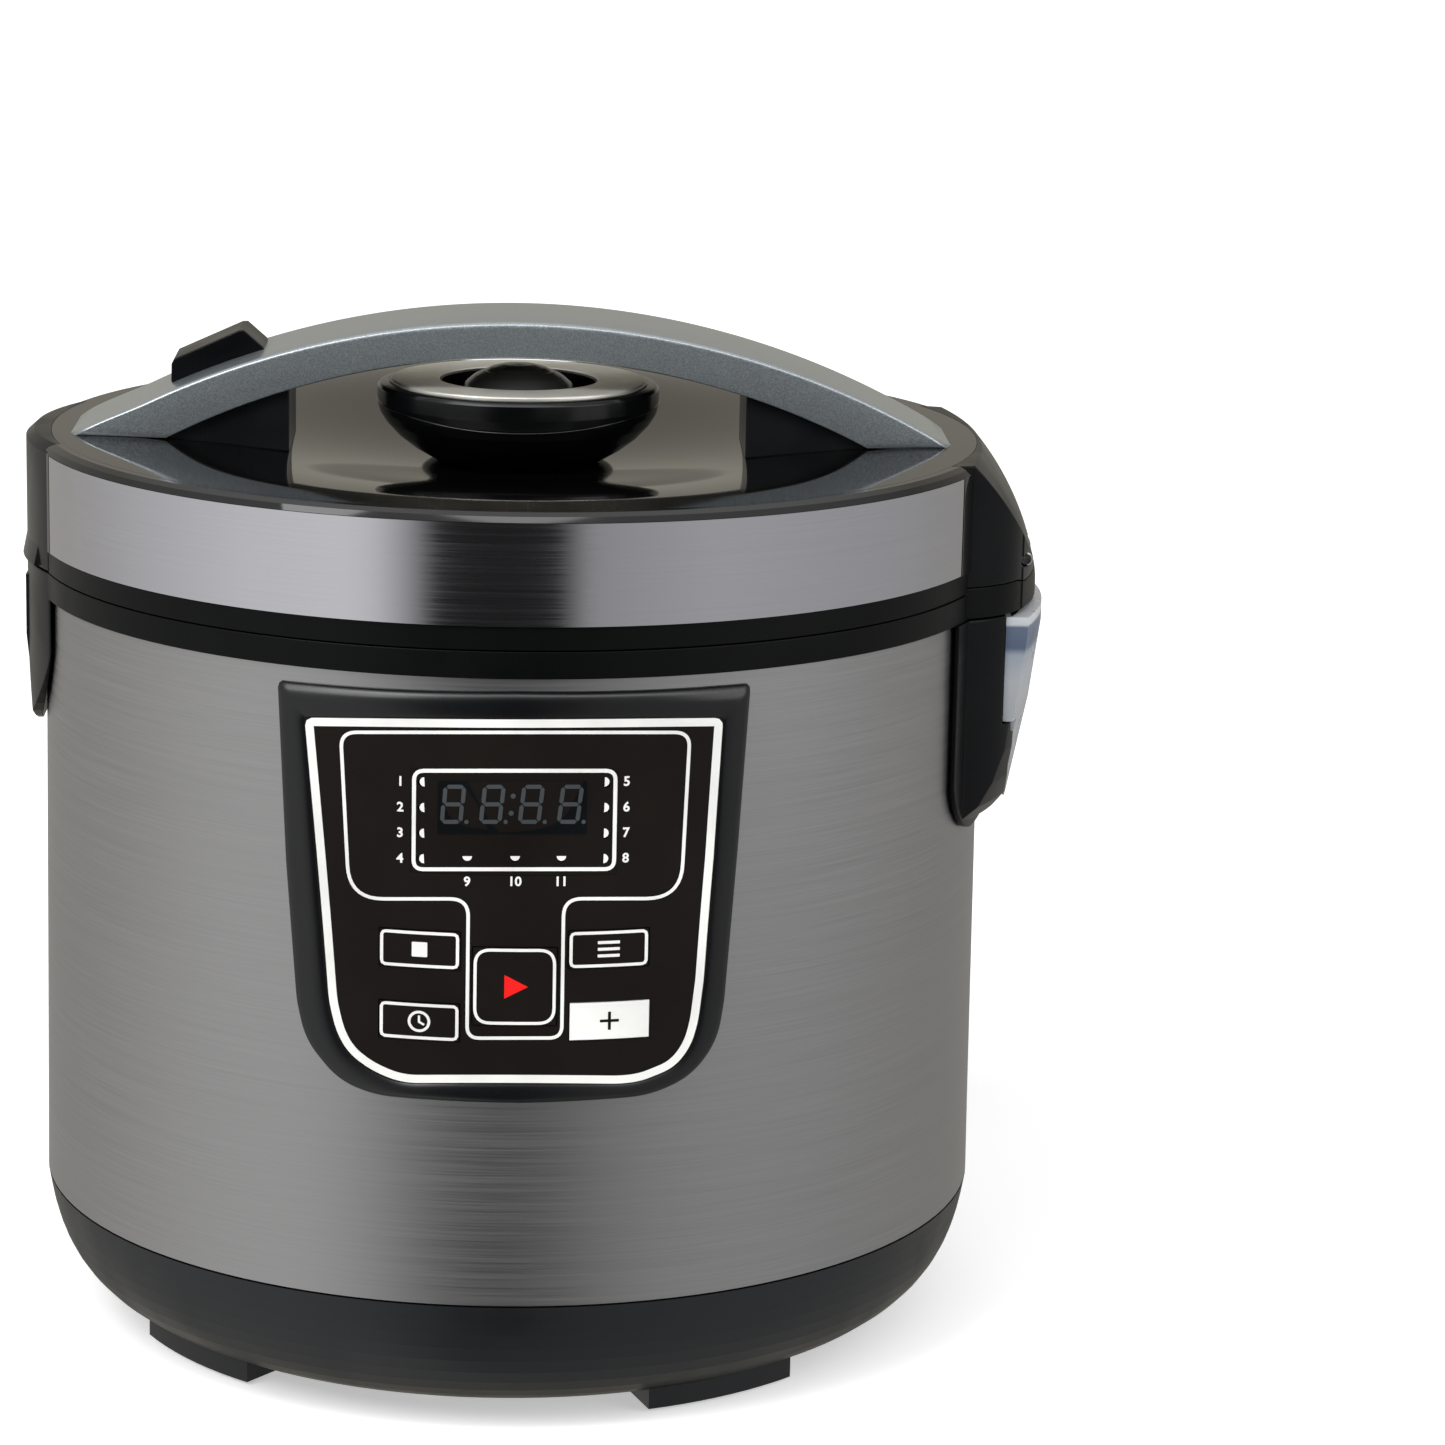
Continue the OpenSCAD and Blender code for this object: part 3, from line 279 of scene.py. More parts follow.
def linkNew(name, data):
    obj = bpy.data.objects.new(name, data)
    scene.collection.objects.link(obj)
    return obj


def settle(obj, finish, body, replaced=(), slotName=None, sharp=35):
    obj.data.materials.clear()
    obj.data.materials.append(finishes[finish])
    obj.data.shade_smooth()
    obj.data.set_sharp_from_angle(angle=math.radians(sharp))
    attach(obj, body)
    if replaced:
        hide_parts(*replaced)
    slotName or finish
    return obj


def newPiece(name, verts, faces, finish, body, weld=True, **extra):
    mesh = meshOf(name, verts, faces)
    work = bmesh.new()
    work.from_mesh(mesh)
    if weld:
        bmesh.ops.remove_doubles(work, verts=work.verts, dist=1e-7)
    bmesh.ops.dissolve_degenerate(work, edges=work.edges, dist=1e-8)
    bmesh.ops.recalc_face_normals(work, faces=work.faces)
    work.to_mesh(mesh)
    work.free()
    return settle(linkNew(name, mesh), finish, body, **extra)


def rowFaces(rows, count, closed=True):
    # the skin over rows of count corners each; closed: the last row meets the first, else both get an end face
    faces = []
    for k in range(rows if closed else rows - 1):
        m = (k + 1) % rows
        for i in range(count):
            j = (i + 1) % count
            faces.append((k * count + i, m * count + i, m * count + j, k * count + j))
    if not closed:
        faces += [tuple(range(count)), tuple((rows - 1) * count + i for i in reversed(range(count)))]
    return faces


def slabFaces(n):  # between two like outlines of n corners
    sides = [(i, (i + 1) % n, n + (i + 1) % n, n + i) for i in range(n)]
    return [tuple(range(n)), tuple(range(2 * n - 1, n - 1, -1))] + sides


def roundCorners(points, radii, steps=6):
    out, count = [], len(points)
    for i, p in enumerate(points):
        r = radii[i] if hasattr(radii, "__len__") else radii
        if r <= 0:
            out.append(tuple(p))
            continue
        a, b, c = Vector(points[i - 1]), Vector(p), Vector(points[(i + 1) % count])
        ab, cb = (a - b), (c - b)
        half = ab.angle(cb) / 2
        reach = min(r / math.tan(half), ab.length * 0.49, cb.length * 0.49)
        s, e = b + ab.normalized() * reach, b + cb.normalized() * reach
        for k in range(steps + 1):
            t = k / steps
            out.append(tuple(s * (1 - t) ** 2 + b * 2 * t * (1 - t) + e * t ** 2))
    return out


def lathe(name, profile, finish, body, steps=192, **extra):
    # profile: radius and height over the body's top edge, in millimetres
    verts = [aroundAxis(2 * math.pi * k / steps, r, z) for k in range(steps) for r, z in profile]
    return newPiece(name, verts, rowFaces(steps, len(profile)), finish, body, **extra)


def bakeModifiers(obj):
    shape = obj.evaluated_get(bpy.context.evaluated_depsgraph_get())
    mesh = bpy.data.meshes.new_from_object(shape)
    obj.modifiers.clear()
    obj.data = mesh


# One named part set on every point, turned and stretched by what the point carries
def newRepeatTree():
    tree = bpy.data.node_groups.new("repeatOnPoints", "GeometryNodeTree")
    for label, kind in (("Geometry", "Geometry"), ("Part", "Object"), ("Size", "Float"), ("Finish", "Material")):
        tree.interface.new_socket(label, in_out="INPUT", socket_type="NodeSocket" + kind)
    tree.interface.new_socket("Geometry", in_out="OUTPUT", socket_type="NodeSocketGeometry")
    n, l = tree.nodes, tree.links
    given, made = n.new("NodeGroupInput"), n.new("NodeGroupOutput")
    info, place = n.new("GeometryNodeObjectInfo"), n.new("GeometryNodeInstanceOnPoints")
    real, paint = n.new("GeometryNodeRealizeInstances"), n.new("GeometryNodeSetMaterial")
    carried = {}
    for label in ("turn", "stretch"):
        carried[label] = n.new("GeometryNodeInputNamedAttribute")
        carried[label].data_type = "FLOAT_VECTOR"
        carried[label].inputs["Name"].default_value = label
    facing, grow = n.new("FunctionNodeEulerToRotation"), addNode(n, "ShaderNodeVectorMath", "SCALE")
    l.new(carried["turn"].outputs["Attribute"], facing.inputs[0])
    l.new(carried["stretch"].outputs["Attribute"], grow.inputs[0])
    l.new(given.outputs["Size"], grow.inputs["Scale"])
    l.new(given.outputs["Part"], info.inputs["Object"])
    l.new(given.outputs["Geometry"], place.inputs["Points"])
    l.new(info.outputs["Geometry"], place.inputs["Instance"])
    l.new(facing.outputs[0], place.inputs["Rotation"])
    l.new(grow.outputs["Vector"], place.inputs["Scale"])
    l.new(place.outputs["Instances"], real.inputs["Geometry"])
    l.new(real.outputs["Geometry"], paint.inputs["Geometry"])
    l.new(given.outputs["Finish"], paint.inputs["Material"])
    l.new(paint.outputs["Geometry"], made.inputs["Geometry"])
    return tree


repeatTree = newRepeatTree()


def repeatPart(name, part, spots, finish, body, size=1.0, **extra):
    # part: corners and faces about its own middle; spots: place, turn and stretch of each copy
    one = linkNew(name + "Part", meshOf(name + "Part", *part))
    base = meshOf(name, [spot[0] for spot in spots], [])
    for k, label in ((1, "turn"), (2, "stretch")):
        carried = base.attributes.new(label, "FLOAT_VECTOR", "POINT")
        for value, spot in zip(carried.data, spots):
            value.vector = spot[k]
    obj = linkNew(name, base)
    repeat = obj.modifiers.new("repeat", "NODES")
    repeat.node_group = repeatTree
    values = {"Part": one, "Size": float(size), "Finish": finishes[finish]}
    for item in repeatTree.interface.items_tree:
        if item.in_out == "INPUT" and item.name in values:
            repeat[item.identifier] = values[item.name]
    bakeModifiers(obj)
    bpy.data.objects.remove(one)
    for label in ("turn", "stretch"):
        if label in obj.data.attributes:
            obj.data.attributes.remove(obj.data.attributes[label])
    work = bmesh.new()
    work.from_mesh(obj.data)
    bmesh.ops.recalc_face_normals(work, faces=work.faces)
    work.to_mesh(obj.data)
    work.free()
    return settle(obj, finish, body, **extra)


def thinPart(outline, depth):
    # an upright outline in millimetres, given its depth in millimetres about zero; the part is in metres
    verts = [(a / 1000, side * depth / 2000, b / 1000) for side in (-1, 1) for a, b in outline]
    return verts, slabFaces(len(outline))


cordSize = {"diameter": 0.0068, "coilX": cooker["axisX"], "coilY": 0.240, "outer": 42.6, "inner": 35.6, "low": 3.5,
            "high": 10.3}
leadRoute = [(0, 158, 30), (0, 161, 30), (0, 164, 30), (-1, 172.7, 29.4), (-3.9, 180.7, 27.6), (-8.4, 187.6, 24.7),
             (-14.4, 192.8, 21), (-21.3, 196, 16.8), (-28.2, 199.2, 12.5), (-34.2, 204.4, 8.8), (-38.7, 211.3, 5.9),
             (-41.6, 219.3, 4.1), (-42.6, 228, 3.5), (-42.6, 234, 3.5)]
tailRoute = [(42.6, 236, 10.3), (42.6, 229.2, 10.3), (43.5, 222.2, 10.2), (46.2, 215.6, 10), (50.6, 210, 9.9),
             (56.2, 205.6, 9.8), (62.8, 202.9, 9.8), (69.8, 202, 9.9), (73.5, 202, 10), (77, 202, 10)]


def coilPoint(turn):  # three and a half turns in two layers of two
    out, low, inn, high = cordSize["outer"], cordSize["low"], cordSize["inner"], cordSize["high"]
    r = out + (inn - out) * easeBetween(turn, 300, 350) + (out - inn) * easeBetween(turn, 915, 970)
    z = low + (high - low) * easeBetween(turn, 612, 655)
    a = math.radians(180 - turn)
    return (r * math.cos(a), cordSize["coilY"] * 1000 + r * math.sin(a), z)


def layCord():
    points = leadRoute + [coilPoint(t) for t in range(0, 1261, 12)] + tailRoute
    line = bpy.data.curves.new("mainsCord", "CURVE")
    line.dimensions = "3D"
    line.bevel_depth = cordSize["diameter"] / 2
    line.bevel_resolution = 5
    spline = line.splines.new("POLY")
    spline.points.add(len(points) - 1)
    for p, q in zip(spline.points, points):
        p.co = (q[0] / 1000 + cordSize["coilX"], q[1] / 1000, q[2] / 1000, 1)
    spline.use_smooth = True
    line.use_fill_caps = True
    obj = linkNew("mainsCord", line)
    obj.data.materials.append(finishes["cord_black"])
    placed = [Vector(p.co[:3]) for p in spline.points]
    length = sum((b - a).length for a, b in zip(placed, placed[1:]))
    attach(obj, "body")
    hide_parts("cord_lead", "cord_coil", "cord_tail")
    tuple(placed[0])
    print("cord laid, length", round(length, 3))


layCord()

# Every piece below is in millimetres from the cooker's axis and the body's top edge

# The lacquer on the lid gets thinner from taperR on, down to thin near the rim
lid = {"rim": 45.5, "rimR": 136.9, "dish": 9.9, "dishR": 126, "hole": 20.5, "film": 0.14, "thin": 0.03, "taperR": 119,
       "thinR": 135, "rows": 80}


def dishHeight(r):
    return lid["rim"] - lid["dish"] * (1 - (min(r, lid["dishR"]) / lid["dishR"]) ** 2) ** 2.2


def lacquer(r):
    return lid["film"] - (lid["film"] - lid["thin"]) * easeBetween(r, lid["taperR"], lid["thinR"])


def makeLidTop():
    radii = [lid["hole"] + 0.1 + (lid["dishR"] - lid["hole"]) * k / lid["rows"] for k in range(lid["rows"] + 1)]
    top = [(r, dishHeight(r) + lacquer(r)) for r in radii] + [(lid["rimR"], lid["rim"] + lid["thin"])]
    under = [(lid["rimR"], lid["rim"] + 0.01)] + [(r, dishHeight(r) + 0.01) for r in reversed(radii)]
    lathe("lidLacquer", top + under, "black_gloss", "lid", steps=256, sharp=50)


# Two arcs with their radii, crests and half spans; the ends spread on the lid by their flare
handle = {"outerR": 248.5, "crest": 81, "outerSpan": 128.1, "innerR": 224, "underCrest": 70.3, "innerSpan": 102.5,
          "front": -26, "back": 19, "leftEnd": 130.8, "rightEnd": 127.8, "endRound": 6, "leftFlare": 3.2,
          "rightFlare": 0.2, "ridge": 1.9, "lip": 0.8, "steps": 150}


def handleDepth(x):
    reach = abs(x) - (handle["leftEnd" if x < 0 else "rightEnd"] - handle["endRound"])
    drop = handle["endRound"] - math.sqrt(max(0, handle["endRound"] ** 2 - reach ** 2)) if reach > 0 else 0
    return handle["front"] + drop, handle["back"] - drop


def arcPoint(x, crest, r):
    return Vector((x, crest - r + math.sqrt(r ** 2 - x ** 2)))


def makeHandle():
    verts, steps, low, high = [], handle["steps"], handle["front"], handle["back"]
    rounding = [handle["lip"], handle["ridge"], handle["ridge"], handle["lip"]]
    for k in range(steps + 1):
        t = -1 + 2 * k / steps
        outer = arcPoint(handle["outerSpan"] * t, handle["crest"], handle["outerR"])
        inner = arcPoint(handle["innerSpan"] * t, handle["underCrest"], handle["innerR"])
        outer.x += math.copysign(handle["leftFlare" if t < 0 else "rightFlare"] * easeBetween(abs(t), 0.85, 1.0), t)
        thick = (outer - inner).length
        up = (outer - inner) / thick
        section = roundCorners([(0.0, low), (thick, low), (thick, high), (0.0, high)], rounding, steps=7)
        for h, y in section:
            p = inner + up * h
            front, back = handleDepth(p.x)
            verts.append(fromTop(p.x, front + (back - front) * (y - low) / (high - low), p.y))
    faces = rowFaces(steps + 1, len(section), closed=False)
    newPiece("handleShell", verts, faces, "handle_silver", "lid", replaced=["handle_trim"], sharp=40)


# Profiles as radius and height, and the radius of each corner
knob = {
    "grip": [(20.0, 15), (20.0, 35.4), (22.3, 36.1), (26, 37.6), (31, 40.5), (35.8, 44.2), (39.4, 48.1), (41.3, 51.2),
             (42.0, 54.2), (42.0, 58.5), (41.3, 59.5), (38.9, 59.9), (38.4, 59.6), (23.4, 59.6), (22.9, 60.2),
             (22.9, 55.4), (19.3, 55.4), (0.02, 55.0), (0.02, 14.4), (20.0, 14.4)],
    "gripRound": [0, 0.6, 2, 3, 5, 6, 5, 3, 2, 0.5, 0.6, 0.3, 0.1, 0.1, 0.3, 0.3, 0.2, 0, 0, 0.3],
    "ring": [(23.5, 59.7), (38.2, 59.7), (38.2, 60.5), (37.6, 60.8), (24.0, 60.8), (23.5, 60.5)],
    "ringRound": [0, 0, 0.3, 0.4, 0.3, 0.3],
    "dome": [(0.02, 55.1), (17.4, 55.1), (17.2, 57.2), (15.9, 59.6), (13.2, 61.8), (10.4, 63.2), (10.0, 63.2),
             (8.2, 64.2), (4.6, 65.05), (0.02, 65.3)],
    "domeRound": [0, 0, 1.5, 2.5, 2.5, 0.2, 0.2, 2, 3, 0],
}
# The parting line round the knob dips to the front and the back
seam = {"z": 52.6, "dip": 2.0, "r": 41.9, "pull": 1.1, "straightZ": 54.0, "fall": 4.2, "bead": 0.28, "steps": 240,
        "sides": 6}


def makeKnob():
    for part, title, finish, node, slotName, sharp in (
            ("grip", "knobGrip", "knob_black", "valve_body", "black_gloss", 30),
            ("ring", "knobRing", "knob_ring", "valve_ring", "bright_steel", 50),
            ("dome", "knobDome", "dome_smoke", "valve_dome", "black_gloss", 40)):
        profile = roundCorners(knob[part], knob[part + "Round"], 5)
        lathe(title, profile, finish, "steam_valve", replaced=[node], slotName=slotName, sharp=sharp)


def makeKnobSeam():
    verts, steps, sides = [], seam["steps"], seam["sides"]
    for k in range(steps):
        a = 2 * math.pi * k / steps
        z = seam["z"] - seam["dip"] * math.cos(2 * a)
        r = seam["r"] - seam["pull"] * easeBetween(seam["straightZ"] - z, 0, seam["fall"])
        for i in range(sides):
            b = 2 * math.pi * i / sides
            verts.append(aroundAxis(a, r + seam["bead"] * math.cos(b), z + seam["bead"] * math.sin(b)))
    newPiece("knobSeam", verts, rowFaces(steps, sides), "knob_black", "steam_valve", slotName="black_gloss")


# Its ends stop just inside the hinge's cheeks; rings: y and radius
rod = {"x": 150.2, "z": 14.3, "rings": [(-33.4, 1.6), (-33.0, 1.98), (33.0, 1.98), (33.4, 1.6)], "sides": 32}


def makeHingeRod():
    angles = [2 * math.pi * k / rod["sides"] for k in range(rod["sides"])]
    verts = [fromTop(rod["x"] + r * math.cos(a), y, rod["z"] + r * math.sin(a))
             for y, r in rod["rings"] for a in angles]
    faces = rowFaces(len(rod["rings"]), rod["sides"], closed=False)
    newPiece("hingeRod", verts, faces, "bright_steel", "body", replaced=["hinge_pin"])


# Distances from the axis, then widths of what is printed; eyeHigh and eyeFar: where the film's eye point is
panel = {"bezelR": 142.2, "footR": 140.6, "filmR": 141.7, "keyR": 142.1, "windowR": 141.82, "print": 0.05, "line": 0.95,
         "border": 2.3, "rows": (-28.6, -35.8, -43.0, -50.2), "columns": (-12.3, 0.6, 13.1), "figure": 2.7,
         "eyeHigh": 264.6, "eyeFar": 1203, "tilt": 0.012}
bezel = {
    "outline": [(-64.9, -5.9), (-63.9, -4.8), (0.3, -3.6), (63.7, -4.0), (64.8, -5.0), (62.2, -51.3), (59.4, -94.2),
                (57.7, -105.7), (50.6, -115.1), (39, -119.8), (2.8, -120.7), (-37.5, -120.3), (-47.7, -117),
                (-57.1, -106.6), (-59.6, -95.3), (-62.6, -55.5)],
    "round": [3, 0.5, 0, 0.5, 3, 0, 40, 40, 40, 40, 40, 40, 40, 40, 40, 0],
    "middle": (0.5, -58),
    # share of the way from the outline to the film, and height over bezelR
    "section": [(0.0, -2.2), (0.015, -1.75), (0.05, -1.3), (0.12, -0.75), (0.22, -0.25), (0.34, 0.05), (0.46, 0.2),
                (0.6, 0.15), (0.78, -0.1), (0.93, -0.5), (1.0, -0.9)],
}
film = {
    "outline": [(-56.4, -11.1), (56.3, -11.1), (54.8, -49.7), (52.7, -85.3), (51.3, -97.4), (49.5, -104.1),
                (45.3, -110.0), (36.5, -113.8), (31.0, -114.6), (-30.1, -114.2), (-38.4, -110.5), (-44.4, -105.7),
                (-47.6, -99.9), (-49.7, -91.3), (-52.5, -58.2)],
    "round": [1, 1, 0] + [40] * 12,
    "middle": (0.5, -60),
    "backing": 7.5,
    "tee": [(-46.8, -14.8), (47.5, -14.8), (45.9, -61.6), (13.9, -61.6), (13.9, -101.4), (-11.9, -101.4),
            (-11.9, -61.6), (-44.3, -61.6)],
    "teeRound": [4, 4, 10, 5, 3.4, 3.4, 5, 10],
    "window": (-26.8, 27.4, -53.2, -25.5, 2.6),
    "windowLine": 1.06,
    "numbers": (-29.6, 29.6, -56.8),  # beside the left row, beside the right row and under the level one
}
# Each mark is a half disc: u and turn of the two upright rows, height of the level one
marks = {"left": (-24.0, 90), "right": (24.5, -90), "low": -49.5, "lowTurn": 180, "r": 1.3, "depth": 0.08}


def onPanel(u, v, r):
    # u runs round the body and v over its top edge; r is the distance from the axis
    return aroundAxis(math.asin(max(-0.999, min(0.999, u / cooker["bodyR"] / 1000))), r, v)


def flat(u, w):
    # the film's artwork is laid level to the eye in front of it: w is its own height, the result u and v
    r = cooker["bodyR"] * 1000
    drop = r - math.sqrt(r ** 2 - u ** 2)
    return u, w - drop * (panel["eyeHigh"] - w) / panel["eyeFar"] + panel["tilt"] * u


def evenPath(points, spacing, closed=True):
    pts = [Vector(p) for p in points]
    ends = pts + ([pts[0]] if closed else [])
    lengths = [(b - a).length for a, b in zip(ends, ends[1:])]
    length = sum(lengths)
    count = max(8, int(length / spacing))
    out, walked, at = [], 0.0, 0
    for k in range(count + (0 if closed else 1)):
        want = min(k * length / count, length - 1e-9)
        while at < len(lengths) - 1 and walked + lengths[at] < want:
            walked += lengths[at]
            at += 1
        out.append(ends[at].lerp(ends[at + 1], (want - walked) / max(lengths[at], 1e-9)))
    return out


def flatPath(points, spacing=0.8):
    return [flat(*p) for p in evenPath(points, spacing)]


def stroke(path, width, low, high, closed=True, spacing=0.8):
    # a printed line: a strip of even width that follows the panel's curve
    pts = [Vector(p) for p in (path if spacing is None else evenPath(path, spacing, closed))]
    n, verts = len(pts), []
    for i, p in enumerate(pts):
        before = pts[i - 1] if closed or i else p
        after = pts[(i + 1) % n] if closed or i < n - 1 else p
        along = (after - before).normalized()
        side = Vector((-along.y, along.x)) * width / 2
        for q, r in ((p + side, low), (p + side, high), (p - side, high), (p - side, low)):
            verts.append(onPanel(q.x, q.y, r))
    return verts, rowFaces(n, 4, closed)


def plate(outline, low, high):
    return [onPanel(u, v, r) for r in (low, high) for u, v in outline], slabFaces(len(outline))


def gather(parts):
    verts, faces = [], []
    for v, f in parts:
        faces += [tuple(i + len(verts) for i in face) for face in f]
        verts += v
    return verts, faces


def roundedBox(u0, u1, v0, v1, r):
    return roundCorners([(u0, v0), (u1, v0), (u1, v1), (u0, v1)], r, 7)


def boxAround(u, v, halfWide, halfTall, r):
    return roundedBox(u - halfWide, u + halfWide, v - halfTall, v + halfTall, r)


def arcPoints(cu, cv, r, a0, a1, steps=14):
    angles = [math.radians(a0 + (a1 - a0) * k / steps) for k in range(steps + 1)]
    return [(cu + r * math.cos(a), cv + r * math.sin(a)) for a in angles]


def figureMesh(text, u, v, low, high, align="CENTER"):
    curve = bpy.data.curves.new("figure", "FONT")
    curve.body, curve.size, curve.align_x, curve.align_y = text, panel["figure"] * 1.37, align, "CENTER"
    curve.extrude, curve.offset, curve.resolution_u = 0.5, 0.1, 3
    obj = linkNew("figure", curve)
    mesh = bpy.data.meshes.new_from_object(obj.evaluated_get(bpy.context.evaluated_depsgraph_get()))
    verts = [onPanel(u + p.co.x, v + p.co.y, high if p.co.z > 0 else low) for p in mesh.vertices]
    faces = [tuple(f.vertices) for f in mesh.polygons]
    bpy.data.objects.remove(obj)
    return verts, faces


def makeBezel():
    outer = evenPath(roundCorners(bezel["outline"], bezel["round"]), 1.2)
    middle = Vector(bezel["middle"])
    inner = [Vector(q) for q in flatPath(roundCorners(film["outline"], film["round"]), 0.25)]
    foot, verts = panel["footR"] - 0.6, []
    for p in outer:
        q = min(inner, key=lambda f: (f - p).length + 21 * abs((f - middle).angle_signed(p - middle)))
        for share, lift in bezel["section"]:
            at = p.lerp(q, share)
            verts.append(onPanel(at.x, at.y, panel["bezelR"] + lift))
        verts += [onPanel(q.x, q.y, foot), onPanel(p.x, p.y, foot)]
    faces = rowFaces(len(outer), len(bezel["section"]) + 2)
    newPiece("panelFrame", verts, faces, "bezel_gloss", "body", replaced=["panel_bezel"], sharp=50)


def makePanelPrint():
    low, high = panel["filmR"], panel["filmR"] + panel["print"]
    middle = Vector(film["middle"])
    border = [Vector(p) for p in evenPath(roundCorners(film["outline"], film["round"]), 0.8)]

    def pulledIn(reach):
        return [flat(*(p + (middle - p).normalized() * reach)) for p in border]
    verts, faces = stroke(pulledIn(3.0), film["backing"], panel["footR"], low - 0.02, spacing=None)
    newPiece("filmBacking", verts, faces, "overlay_film", "body", sharp=30)
    tee = flatPath(roundCorners(film["tee"], film["teeRound"], 9))
    window = flatPath(roundedBox(*film["window"]))
    parts = [stroke(pulledIn(panel["border"] / 2 + 0.1), panel["border"], low, high, spacing=None),
             stroke(tee, panel["line"], low, high, spacing=None),
             stroke(window, film["windowLine"], low, panel["windowR"] + panel["print"], spacing=None)]
    left, right, under = film["numbers"]
    for k, w in enumerate(panel["rows"]):
        parts.append(figureMesh(str(k + 1), *flat(left, w), low, high, "RIGHT"))
        parts.append(figureMesh(str(k + 5), *flat(right, w), low, high, "LEFT"))
    for k, u in enumerate(panel["columns"]):
        parts.append(figureMesh(str(k + 9), *flat(u, under), low, high))
    newPiece("panelPrint", *gather(parts), "white_print", "body", sharp=30, weld=False)


def filmSpot(u, w, r, tilt=0.0, stretch=(1, 1, 1)):  # a copy that lies on the film, turned by tilt in its plane
    tilt += math.degrees(math.atan(flat(u + 0.5, w)[1] - flat(u - 0.5, w)[1]))
    return onPanel(*flat(u, w), r), (0, -math.radians(tilt), math.asin(u / cooker["bodyR"] / 1000)), stretch


def makeMarks():
    spots = [(u, w, turn) for u, turn in (marks["left"], marks["right"]) for w in panel["rows"]]
    spots += [(u, marks["low"], marks["lowTurn"]) for u in panel["columns"]]
    half = thinPart(arcPoints(0, 0, marks["r"], 0, 180), marks["depth"])
    repeatPart("programmeMarks", half, [filmSpot(u, w, panel["windowR"] + 0.04, turn) for u, w, turn in spots],
               "white_print", "body", replaced=["indicator_lenses"], sharp=30)


# tops: each digit's top left corner; wide, tall, lean, bar and gap are a digit's; points: radius and depth
display = {"box": (-20.4, 19.8, -43.3, -28.3, 0.3), "tall": 11.0, "wide": 6.15, "lean": 1.25, "bar": 1.15, "gap": 0.22,
           "tops": [(-18.7, -29.4), (-8.15, -29.4), (2.35, -29.4), (12.85, -29.4)],
           "colon": [(-0.1, -32.6), (-0.6, -37.4)], "pointR": 0.7, "stop": (1.2, 0.55, 0.85), "depth": 0.06}


def digitPoint(corner, across, down):  # follows the digit's lean
    return corner[0] + across - display["lean"] * down / display["tall"], corner[1] - down


def makeDisplay():
    outline = flatPath(roundedBox(*display["box"]), 1.0)
    newPiece("displayBlock", *plate(outline, panel["filmR"], panel["windowR"] + 0.04), "display_dark", "body", sharp=30)
    wide, tall, bar, half = display["wide"], display["tall"], display["bar"], display["bar"] / 2
    slope = math.degrees(math.atan2(display["lean"], tall))
    longSide = (tall - bar) / 2 - display["gap"]
    wideSide = wide - bar - display["gap"]
    tip = 0.5 - half / longSide
    segment = thinPart([(-0.5, 0), (-tip, half), (tip, half), (0.5, 0), (tip, -half), (-tip, -half)], display["depth"])
    spots, face = [], panel["windowR"] + 0.06
    for corner in display["tops"]:
        for down in (half, tall / 2, tall - half):
            spots.append(filmSpot(*digitPoint(corner, wide / 2, down), face, 0, (wideSide, 1, 1)))
        for across in (half, wide - half):
            for down in (0.25 * tall + half / 2, 0.75 * tall - half / 2):
                spots.append(filmSpot(*digitPoint(corner, across, down), face, 90 - slope, (longSide, 1, 1)))
    repeatPart("displayDigits", segment, spots, "digit_grey", "body", slotName="display_dark", sharp=30)
    right, rise, share = display["stop"]
    points = [(u, v, 1.0) for u, v in display["colon"]]
    points += [(u + wide - display["lean"] + right, v - tall + rise, share) for u, v in display["tops"]]
    dot = thinPart(arcPoints(0, 0, display["pointR"], 0, 345, 23), display["depth"])
    spots = [filmSpot(u, v, face, 0, (k, 1, k)) for u, v, k in points]
    repeatPart("displayPoints", dot, spots, "digit_grey", "body", slotName="display_dark", sharp=30)


# Each key's left, right, low and high edge; the rim is drawn inset from them
keyPlaces = {"key_upper_left": (-35.8, -14.1, -82.05, -71.55), "key_lower_left": (-35.8, -14.1, -102.65, -92.15),
             "key_upper_right": (15.5, 37.1, -81.45, -70.95), "key_lower_right": (16.0, 37.6, -102.05, -91.55),
             "key_start": (-10.4, 12.2, -97.6, -75.6)}
keyRim = {"inset": 0.55, "width": 0.85, "round": 1.2, "startRound": 4.2}


def keyIcon(name, u, v, low, high):
    if name == "key_upper_left":  # stop
        return [plate(boxAround(u, v, 2.1, 2.1, 0.3), low, high)]
    if name == "key_lower_left":  # clock
        return [stroke(arcPoints(u, v, 2.7, 0, 359, 40), 0.75, low, high, spacing=0.4),
                stroke([(u, v), (u, v + 1.7)], 0.6, low, high, False, 0.4),
                stroke([(u - 0.2, v), (u + 1.4, v - 0.9)], 0.6, low, high, False, 0.4)]
    if name == "key_upper_right":  # menu
        return [plate(boxAround(u, v + rise, 3, 0.42, 0.2), low, high) for rise in (1.9, 0, -1.9)]
    if name == "key_lower_right":  # plus
        return [plate(boxAround(u, v, 2.6, 0.4, 0.1), low, high),
                plate(boxAround(u, v, 0.4, 2.6, 0.1), low + 0.01, high + 0.01)]
    return [plate([(u - 2.8, v - 3.4), (u + 3.6, v), (u - 2.8, v + 3.4)], low, high)]


